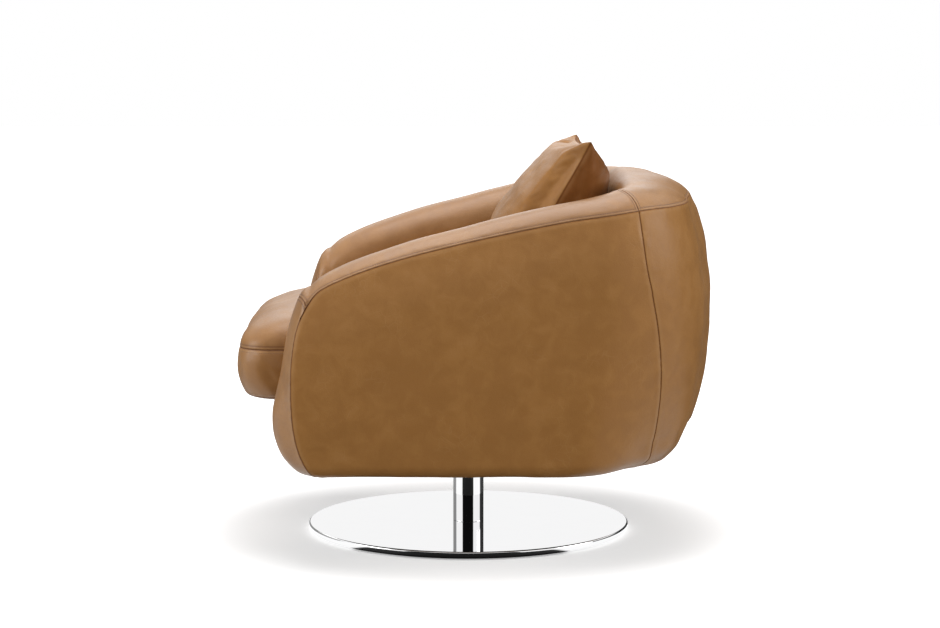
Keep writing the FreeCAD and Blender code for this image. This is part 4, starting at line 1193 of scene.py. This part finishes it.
def surround_group():
    """Brightness of the studio in a mirror, for a direction given by its forward and sideways shares:
    black behind the camera, white panels at both sides, dim corners behind them and white at the back."""
    t, (front, side, up), leave = new_group("Surround", ("Strength",), Front=0.0, Side=0.0, Up=0.0)
    turned = front - side * 0.07
    black = turned.range(0.73, 0.775, 0.0, 0.996) * up.range(0.60, 0.75, 1.0, 0.0)
    corner = turned.range(-0.23, -0.14, 1.0, 0.0) * front.range(-0.993, -0.985)
    corner = corner * up.range(0.35, 0.5, 1.0, 0.0) * side.range(-0.2, 0.2, 0.73, 0.97)
    leave.put({"Strength": front.range(-0.995, -0.98, 1.0, 1.08) * ((1.0 - black) * (1.0 - corner))})
    return t.tree


GROUP_MAKERS = {"Hide": hide_group, "Weave": weave_group, "Handling": fleck_group, "Timber": wood_group,
                "Surround": surround_group}
GROUPS = {}


def group_of(name):
    """A shared node group, made when it is first asked for."""
    if name not in GROUPS:
        GROUPS[name] = GROUP_MAKERS[name]()
    return GROUPS[name]


def blank(name):
    """New material, its tree, its shader and the object's coordinates."""
    material = bpy.data.materials.new(name)
    material.use_nodes = True
    tree = Tree(material.node_tree)
    shader = Placed(tree, material.node_tree.nodes["Principled BSDF"])
    return material, tree, shader, tree.add("ShaderNodeTexCoord").value("Object")


def bump(tree, shader, height, strength, distance):
    """Joins a height to the shader's normal."""
    node = tree.add("ShaderNodeBump", {"Strength": strength, "Distance": distance, "Height": height})
    shader.put({"Normal": node.value()})


def colour(value):
    """A colour that is given as three numbers or as the name of a setting."""
    return tuple(getattr(bpy.context.scene.armchair, value)) if isinstance(value, str) else value


def leather(name, base, gloss, mottle):
    """Aniline leather with its grain, and painted shade along its seams and in its stitches' dents."""
    material, tree, shader, coords = blank(name)
    seam, stitch = (tree.add("ShaderNodeAttribute", attribute_name=mask).value("Fac")
                    for mask in ("seam", "stitch"))
    hide = tree.group("Hide", Vector=coords, Base=colour(base), Dark=colour("leather_shade"),
                      Pale=colour("leather_worn"), Mottle=mottle, Seam=seam, Stitch=stitch)
    shader.put({"Base Color": hide.value("Color"), "Roughness": hide.value("Roughness"), "IOR": 1.5,
                "Specular IOR Level": gloss, "Sheen Weight": 0.04, "Sheen Roughness": 0.45,
                "Sheen Tint": (0.85, 0.70, 0.55), "Coat Weight": 0.05, "Coat Roughness": 0.35})
    bump(tree, shader, hide.value("Height"), 0.35, 0.0004)
    return material


def cloth(name, base, dark, pitch, rough=0.9):
    """Woven cloth, felt or thread."""
    material, tree, shader, coords = blank(name)
    weave = tree.group("Weave", Vector=coords, Base=colour(base), Dark=colour(dark), Pitch=pitch)
    shader.put({"Base Color": weave.value("Color"), "Roughness": rough, "Sheen Weight": 0.25})
    bump(tree, shader, weave.value("Height"), 0.5, 0.0005)
    return material


def metal(name, base, low, high, metallic=1.0, handled=0.93, turned=False):
    """Metal, paint or plastic with marks of handling, and with turning marks if asked for."""
    material, tree, shader, coords = blank(name)
    marks = tree.group("Handling", Vector=coords, Low=low, High=high)
    shade = tuple(part * handled for part in base)
    shader.put({"Base Color": tree.mix(marks.value("Mask"), base, shade), "Metallic": metallic,
                "Roughness": marks.value("Roughness")})
    if turned:
        along = tree.add("ShaderNodeMapping", {"Scale": (60.0, 60.0, 2500.0), "Vector": coords})
        bump(tree, shader, tree.noise(along.value(), 1.0), 0.12, 0.0002)
    return material


def timber(name, base, dark, stretch):
    """Wood with its rings along the stretched direction."""
    material, tree, shader, coords = blank(name)
    along = tree.add("ShaderNodeMapping", {"Scale": stretch, "Vector": coords})
    wood = tree.group("Timber", Vector=along.value(), Base=base, Dark=dark)
    shader.put({"Base Color": wood.value("Color"), "Roughness": 0.62})
    bump(tree, shader, wood.value("Height"), 0.2, 0.0003)
    return material


TAN, TAN_DARK, TAN_PALE = (0.356, 0.164, 0.043), (0.165, 0.060, 0.012), (0.50, 0.29, 0.13)
# Maker and values of each material
LOOKS = {
    "body_leather": (leather, "leather_color", 0.75, 1.0),
    "panel_leather": (leather, "leather_color", 0.22, 0.75),
    "cushion_leather": (leather, "leather_color", 0.55, 0.8),
    "pillow_leather": (leather, "leather_color", 0.2, 0.8),
    "pillow_back_leather": (leather, "pillow_back_color", 0.15, 0.9),
    "thread": (cloth, "thread_color", "leather_shade", 5000.0, 0.7),
    "chrome": (metal, (0.88, 0.88, 0.885), 0.008, 0.014, 1.0, 0.992),
    "turned_steel": (metal, (0.58, 0.59, 0.60), 0.18, 0.32, 1.0, 0.93, True),
    "zinc_steel": (metal, (0.66, 0.67, 0.69), 0.25, 0.40),
    "black_paint": (metal, (0.012, 0.012, 0.012), 0.35, 0.5, 0.0),
    "bearing_plastic": (metal, (0.70, 0.68, 0.60), 0.36, 0.50, 0.0, 0.85),
    "plywood": (timber, (0.56, 0.38, 0.20), (0.36, 0.22, 0.10), (0.5, 6.0, 40.0)),
    "beech": (timber, (0.60, 0.40, 0.24), (0.44, 0.27, 0.15), (6.0, 0.6, 6.0)),
    "black_cloth": (cloth, (0.030, 0.030, 0.032), (0.008, 0.008, 0.008), 2600.0),
    "felt": (cloth, (0.045, 0.045, 0.047), (0.015, 0.015, 0.015), 900.0, 0.95),
    "grey_felt": (cloth, (0.28, 0.27, 0.25), (0.15, 0.145, 0.13), 900.0, 0.95),
    "webbing": (cloth, (0.11, 0.08, 0.05), (0.035, 0.025, 0.018), 1500.0, 0.85),
}
# CAD nodes that stay in view with a better material
FINISH = {
    "plywood": ("base_board", "arm_panel_left", "arm_panel_right", "back_panel"),
    "beech": ("corner_post_left", "corner_post_right", "side_rail_left", "side_rail_right", "front_rail",
              "rear_rail"),
    "turned_steel": ("spindle", "column_plug"),
    "zinc_steel": ("base_bolt", "base_dowels", "mount_bolts", "tee_nuts", "retaining_ring", "frame_screws"),
    "black_paint": ("mount_plate",),
    "bearing_plastic": ("lower_bush", "upper_bush", "thrust_washer")}
MATERIALS = {}


def material_of(name):
    """A material of the table, made when it is first asked for."""
    if name not in MATERIALS:
        maker, *values = LOOKS[name]
        MATERIALS[name] = maker(name, *values)
    return MATERIALS[name]


# ---------------------------------------------------------------- stitches

# A stitch is a six-sided spindle: places along its length and widths there
SPINDLE_ALONG = np.array([-0.5, -0.40, 0.0, 0.40, 0.5])
SPINDLE_WIDTH = np.array([0.30, 0.85, 1.0, 0.85, 0.30])
SPINDLE_SIDES, STITCH_THICK, STITCH_SHARE = 6, 0.42, 0.74
SPINDLE_CAPS = [[5, 4, 3, 2], [5, 2, 1, 0], [24, 25, 26, 27], [24, 27, 28, 29]]


def stitches(name, rows, pitch, material):
    """Rows of stitches: a spindle on each step of a line, along it and half sunk into the leather."""
    angle = np.linspace(0, 2 * np.pi, SPINDLE_SIDES, endpoint=False)[:, None]
    one = np.concatenate([grid_faces(len(SPINDLE_ALONG), SPINDLE_SIDES, wrap=True), SPINDLE_CAPS])
    places = []
    for line, normal in rows:
        run = run_of(line)
        number = max(2, int(run[-1] / pitch))
        middle = (np.arange(number) + 0.5) * run[-1] / number
        tangent = unit(at_run(middle + 0.6, run, line) - at_run(middle - 0.6, run, line))
        up = at_run(middle, run, normal)
        up = unit(up - tangent * (up * tangent).sum(1, keepdims=True))
        centre, tangent, side, up = (part[:, None, None] for part in
                                     (at_run(middle, run, line), tangent, np.cross(tangent, up), up))
        along, width = SPINDLE_ALONG[:, None, None], SPINDLE_WIDTH[:, None, None]
        ring = np.cos(angle) * side * 0.95 + np.sin(angle) * up * 0.8
        dip = up * (0.12 - 0.35 * (np.abs(along) * 2) ** 3)
        body = centre + tangent * along * pitch * STITCH_SHARE + ring * width * STITCH_THICK + dip
        places.append(body.reshape(-1, 3))
    places = np.concatenate(places)
    size = len(SPINDLE_ALONG) * SPINDLE_SIDES
    faces = (one[None] + np.arange(0, len(places), size)[:, None, None]).reshape(-1, 4)
    return face_each_out(make_mesh(name, places, faces, material))


def row_inside(skin, side, distance):
    """Line on a grid at a distance from one of its edges, measured along the grid, and its normals."""
    if side in ("left", "right"):
        skin = [values.transpose(1, 0, 2) for values in skin]
    if side in ("top", "right"):
        skin = [values[::-1] for values in skin]
    run = run_of(skin[0])
    return [np.stack([at_run(distance, run[:, k], values[:, k]) for k in range(3, run.shape[1] - 3)])
            for values in skin]


# ---------------------------------------------------------------- stage

# The photograph's camera: place, how far it looks down, and its focal length and width in pixels
CAMERA_AT, CAMERA_DOWN, FOCAL_PIXELS, PHOTO_WIDE = (5.1, 0.00301, 1.0278), 6.962, 2749.7, 940.0
SENSOR_WIDE = 36.0
FLOOR_HALF = 14.0
# Name, place, aim, size and power of each lamp
LAMPS = [("lamp_top", (-0.3, -0.1, 3.1), (0.0, 0.0, 0.4), (2.4, 2.4), 42.0),
         ("lamp_rim", (-3.2, -0.5, 2.1), (0.0, 0.0, 0.45), (2.6, 1.4), 10.0),
         ("lamp_back", (0.3, 3.2, 1.5), (0.0, 0.2, 0.4), (1.6, 1.6), 26.0),
         ("lamp_front", (0.9, -3.1, 1.6), (0.0, 0.0, 0.4), (1.6, 1.6), 20.0)]


def soft_lamp(name, place, aim, size, power):
    """White rectangular lamp that looks at a point."""
    data = bpy.data.lights.new(name, "AREA")
    data.shape = "RECTANGLE"
    data.size, data.size_y = size
    data.energy = power
    lamp = place_object(name, data)
    lamp.location = place
    lamp.rotation_mode = "QUATERNION"
    lamp.rotation_quaternion = (Vector(aim) - Vector(place)).to_track_quat("-Z", "Y")


def surround(tree, vector, up=False):
    """Adds the studio's brightness for a direction to a node tree, or for a place on the floor, which glows
    with it as a painted reflection.
    """
    split = tree.add("ShaderNodeSeparateXYZ", {"Vector": vector})
    flat = tree.add("ShaderNodeCombineXYZ", {"X": split.value(0), "Y": split.value(1)})
    reach = tree.add("ShaderNodeVectorMath", {0: flat.value()}, operation="LENGTH").value("Value")
    safe = tree.math("MAXIMUM", reach, 0.001)
    node = tree.group("Surround", Front=split.value(0) / safe, Side=split.value(1) / safe)
    if up:
        node.put({"Up": split.value(2)})
    return node.value("Strength"), reach, split.value(0)


def make_floor():
    """White floor that glows to the camera, its glow lowered near the base as a painted shadow, and that
    glows to glossy rays with the studio's bright and dark panels as a painted reflection.
    """
    corners = np.array([[-1, -1, 0], [1, -1, 0], [1, 1, 0], [-1, 1, 0]]) * FLOOR_HALF / MM
    material, tree, shader, coords = blank("floor_white")
    light = colour("floor_color")
    path = tree.add("ShaderNodeLightPath")
    camera_ray, glossy_ray = path.value("Is Camera Ray"), path.value("Is Glossy Ray")
    mild = tree.mix(tree.noise(coords, 3.0, 3.0).range(0.3, 0.7), light, tuple(c * 0.985 for c in light))
    dim = tree.mix(glossy_ray, tuple(c * 0.42 for c in light), (0.0, 0.0, 0.0))
    mirror, reach, _ = surround(tree, coords)
    # Painted shadow: the camera sees less glow near the base, dipping at about 0.42 m, so that the chair's
    # shadow looks wider; further out the glow rises to an even white
    painted_glow = reach.range(0.30, 0.42, 0.36, 0.27) + reach.range(0.42, 0.62, 0.0, 0.33)
    # Painted reflection: to glossy rays the floor glows with the studio's bright and dark panels
    painted_glow = camera_ray * (painted_glow + reach.range(0.62, 2.2, 0.0, 0.2)) + glossy_ray * mirror
    shader.put({"Base Color": tree.mix(camera_ray, dim, mild), "Roughness": 0.85, "Specular IOR Level": 0.1,
                "Emission Color": (1.0, 1.0, 1.0), "Emission Strength": painted_glow})
    return make_mesh("floor", corners, [[0, 1, 2, 3]], material, smooth=False)


def make_world():
    """Studio: soft light that grows towards the camera's side, and what a mirror or the camera sees."""
    world = bpy.data.worlds.new("studio")
    world.use_nodes = True
    world.node_tree.nodes.clear()
    tree = Tree(world.node_tree)
    path = tree.add("ShaderNodeLightPath")
    glossy_ray = path.value("Is Glossy Ray")
    seen = tree.math("MAXIMUM", path.value("Is Camera Ray"), glossy_ray)
    seen = tree.math("MAXIMUM", seen, path.value("Is Transmission Ray"))
    mirror, _, ahead = surround(tree, tree.add("ShaderNodeTexCoord").value("Generated"), up=True)
    strengths = (ahead.range(0.0, 0.8, 0.45, 1.15), (1.0 - glossy_ray) + mirror * glossy_ray)
    soft, white = (tree.add("ShaderNodeBackground", {"Color": (1.0, 1.0, 1.0), "Strength": strength}).value()
                   for strength in strengths)
    both = tree.add("ShaderNodeMixShader", {0: seen, 1: soft, 2: white})
    tree.add("ShaderNodeOutputWorld", {0: both.value()})
    return world


def make_camera():
    """Camera that sees the chair as the photograph does."""
    data = bpy.data.cameras.new("camera")
    data.sensor_width = SENSOR_WIDE
    data.lens = FOCAL_PIXELS * SENSOR_WIDE / PHOTO_WIDE
    camera = place_object("camera", data)
    camera.location = CAMERA_AT
    camera.rotation_euler = (math.radians(90.0 - CAMERA_DOWN), 0.0, math.radians(90.0))
    return camera


# ---------------------------------------------------------------- settings, operators and panel

class ChairSettings(bpy.types.PropertyGroup):
    """Sizes and colours that a user would change."""
    leather_color: bpy.props.FloatVectorProperty(
        name="Leather colour", description="Middle tone of the hide", subtype="COLOR", size=3,
        min=0.0, max=1.0, default=TAN)
    leather_shade: bpy.props.FloatVectorProperty(
        name="Leather shade", description="Dark tone in hollows and seams", subtype="COLOR", size=3,
        min=0.0, max=1.0, default=TAN_DARK)
    leather_worn: bpy.props.FloatVectorProperty(
        name="Worn leather", description="Pale tone where the hide is stretched or rubbed", subtype="COLOR",
        size=3, min=0.0, max=1.0, default=TAN_PALE)
    pillow_back_color: bpy.props.FloatVectorProperty(
        name="Pillow back", description="Redder tone of the pillow's back panel", subtype="COLOR", size=3,
        min=0.0, max=1.0, default=(0.235, 0.090, 0.024))
    thread_color: bpy.props.FloatVectorProperty(
        name="Thread colour", description="Colour of the sewing thread", subtype="COLOR", size=3,
        min=0.0, max=1.0, default=(0.30, 0.15, 0.055))
    stitch_pitch: bpy.props.FloatProperty(
        name="Stitch pitch", description="Length of one stitch and its gap", subtype="DISTANCE",
        unit="LENGTH", min=0.002, max=0.02, default=0.0042)
    stitch_offset: bpy.props.FloatProperty(
        name="Stitch offset", description="Distance of a stitched row from its seam", subtype="DISTANCE",
        unit="LENGTH", min=0.002, max=0.02, default=0.0055)
    floor_color: bpy.props.FloatVectorProperty(
        name="Floor colour", description="Colour of the studio floor", subtype="COLOR", size=3,
        min=0.0, max=1.0, default=(0.9, 0.9, 0.9))


class CHAIR_OT_arm_leather(bpy.types.Operator):
    """Makes the leather panels of both arms"""
    bl_idname = "armchair.arm_leather"
    bl_label = "Arm leather"

    def execute(self, context):
        for maker, name, skin, foams in (
                (arm_side, "arm_side_", "panel_leather", ("arm_foam_", "corner_foam_")),
                (arm_band, "arm_band_", "body_leather", ()), (arm_front, "arm_front_", "body_leather", ())):
            left = maker(material_of(skin))
            right = mirrored(left, name + "right_leather")
            for piece, side in ((left, "left"), (right, "right")):
                nodes = [part + side for part in (name, *foams)]
                dress(piece, "seat", "tan_leather", *nodes, fill=0.95)
        return {"FINISHED"}


class CHAIR_OT_back_leather(bpy.types.Operator):
    """Makes the two leather panels of the back"""
    bl_idname = "armchair.back_leather"
    bl_label = "Back leather"

    def execute(self, context):
        outside = back_outside(material_of("panel_leather"))
        dress(outside, "seat", "tan_leather", "back_outside", "back_foam", fill=0.95)
        band = back_band(material_of("body_leather"))
        dress(band, "seat", "tan_leather", "back_band", fill=0.95)
        return {"FINISHED"}


class CHAIR_OT_cushion(bpy.types.Operator):
    """Makes the loose seat cushion"""
    bl_idname = "armchair.cushion"
    bl_label = "Seat cushion"

    def execute(self, context):
        piece = make_cushion(material_of("cushion_leather"))
        dress(piece, "cushion", "tan_leather", "cushion_top", "cushion_border", "cushion_underside",
              "cushion_core", fill=0.8)
        return {"FINISHED"}


class CHAIR_OT_pillow(bpy.types.Operator):
    """Makes the loose pillow, blown up by the cloth solver"""
    bl_idname = "armchair.pillow"
    bl_label = "Pillow"

    def execute(self, context):
        front, back = make_pillow(material_of("pillow_leather"), material_of("pillow_back_leather"))
        dress(front, "pillow", "tan_leather", "pillow_front", "pillow_fill", fill=0.6)
        dress(back, "pillow", "tan_leather", "pillow_back", fill=0.6)
        return {"FINISHED"}


class CHAIR_OT_stitching(bpy.types.Operator):
    """Makes the rows of stitches beside the seams"""
    bl_idname = "armchair.stitching"
    bl_label = "Stitching"

    def execute(self, context):
        values = context.scene.armchair
        pitch, offset = values.stitch_pitch / MM, values.stitch_offset / MM
        thread = material_of("thread")
        out, normal, run, low, high = SKINS["cushion"]
        rows = []
        for seam, way in ((high, -1), (low, 1)):
            index = int(np.argmin(np.abs(run[:, 0] - run[seam, 0] - way * offset)))
            rows.append([np.concatenate([values[index], values[index][:1]]) for values in (out, normal)])
        dress(stitches("cushion_stitches", rows, pitch, thread), "cushion", "tan_leather")
        rows = []
        flip = np.array([-1.0, 1.0, 1.0])
        for panel, sides in (("arm_band_left", ("bottom", "left", "right")), ("arm_front_left", ("bottom",))):
            for side in sides:
                row = row_inside(SKINS[panel], side, offset)
                rows += [row, [values * flip for values in row]]
        rows += [row_inside(SKINS["back_band"], side, offset) for side in ("bottom", "left", "right")]
        dress(stitches("seat_stitches", rows, pitch, thread), "seat", "tan_leather")
        return {"FINISHED"}


class CHAIR_OT_deck(bpy.types.Operator):
    """Makes the deck under the cushion and the cloth below the chair"""
    bl_idname = "armchair.deck"
    bl_label = "Deck and cloths"

    def execute(self, context):
        for node in ("cross_straps", "long_straps"):
            dress(make_straps(node, material_of("webbing")), "seat", "webbing", node)
        pad = slab("deck_pad_felt", *box_of("deck_pad"), material_of("grey_felt"), 2.5, 12.0)
        dress(pad, "seat", "felt_pad", "deck_pad", fill=0.5)
        low, high = box_of("deck_cloth")
        cover = slab("deck_cloth_black", low, high, material_of("black_cloth"), 0.4, 10.0)
        dress(cover, "seat", "black_cloth", "deck_cloth")
        apron = make_apron(material_of("body_leather"))
        dress(apron, "seat", "tan_leather", "front_apron")
        cloth_under, size, area = make_dust_cover(material_of("black_cloth"))
        dress(cloth_under, "seat", "black_cloth", "dust_cover")
        return {"FINISHED"}


class CHAIR_OT_base(bpy.types.Operator):
    """Makes the chrome disc and column and the felt under them"""
    bl_idname = "armchair.base"
    bl_label = "Disc base"

    def execute(self, context):
        chrome = material_of("chrome")
        dress(make_disc(chrome), "base", "polished_chrome", "base_disc")
        dress(make_column(chrome), "base", "polished_chrome", "column_tube")
        dress(make_felt(material_of("felt")), "base", "floor_felt", "floor_felt")
        return {"FINISHED"}


class CHAIR_OT_inside(bpy.types.Operator):
    """Gives the frame, the swivel and the fasteners their materials"""
    bl_idname = "armchair.inside"
    bl_label = "Frame and swivel"

    def execute(self, context):
        for name, nodes in FINISH.items():
            for node in nodes:
                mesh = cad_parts[node].data
                mesh.materials.clear()
                mesh.materials.append(material_of(name))
        return {"FINISHED"}


class CHAIR_OT_stage(bpy.types.Operator):
    """Makes the floor, the lamps, the world and the camera"""
    bl_idname = "armchair.stage"
    bl_label = "Stage"

    def execute(self, context):
        scene = context.scene
        make_floor()
        scene.world = make_world()
        for lamp in LAMPS:
            soft_lamp(*lamp)
        scene.camera = make_camera()
        scene.view_settings.view_transform = "Standard"
        return {"FINISHED"}


class CHAIR_PT_panel(bpy.types.Panel):
    """Sizes and steps of the armchair"""
    bl_idname = "CHAIR_PT_panel"
    bl_label = "Armchair"
    bl_space_type = "VIEW_3D"
    bl_region_type = "UI"
    bl_category = "Armchair"

    def draw(self, context):
        for key in ChairSettings.__annotations__:
            self.layout.prop(context.scene.armchair, key)
        for step in STEPS:
            self.layout.operator(step.bl_idname)


STEPS = (CHAIR_OT_arm_leather, CHAIR_OT_back_leather, CHAIR_OT_cushion, CHAIR_OT_pillow,
         CHAIR_OT_stitching, CHAIR_OT_deck, CHAIR_OT_base, CHAIR_OT_inside, CHAIR_OT_stage)
CLASSES = (ChairSettings,) + STEPS + (CHAIR_PT_panel,)


def register():
    """Adds the settings, the operators and the panel."""
    for kind in CLASSES:
        bpy.utils.register_class(kind)
    bpy.types.Scene.armchair = bpy.props.PointerProperty(type=ChairSettings)


def unregister():
    """Takes them away again."""
    del bpy.types.Scene.armchair
    for kind in reversed(CLASSES):
        bpy.utils.unregister_class(kind)


def main():
    """Builds everything step by step."""
    register()
    bpy.ops.armchair.arm_leather()
    bpy.ops.armchair.back_leather()
    bpy.ops.armchair.cushion()
    bpy.ops.armchair.pillow()
    bpy.ops.armchair.stitching()
    bpy.ops.armchair.deck()
    bpy.ops.armchair.base()
    bpy.ops.armchair.inside()
    bpy.ops.armchair.stage()


if __name__ == "__main__":
    main()
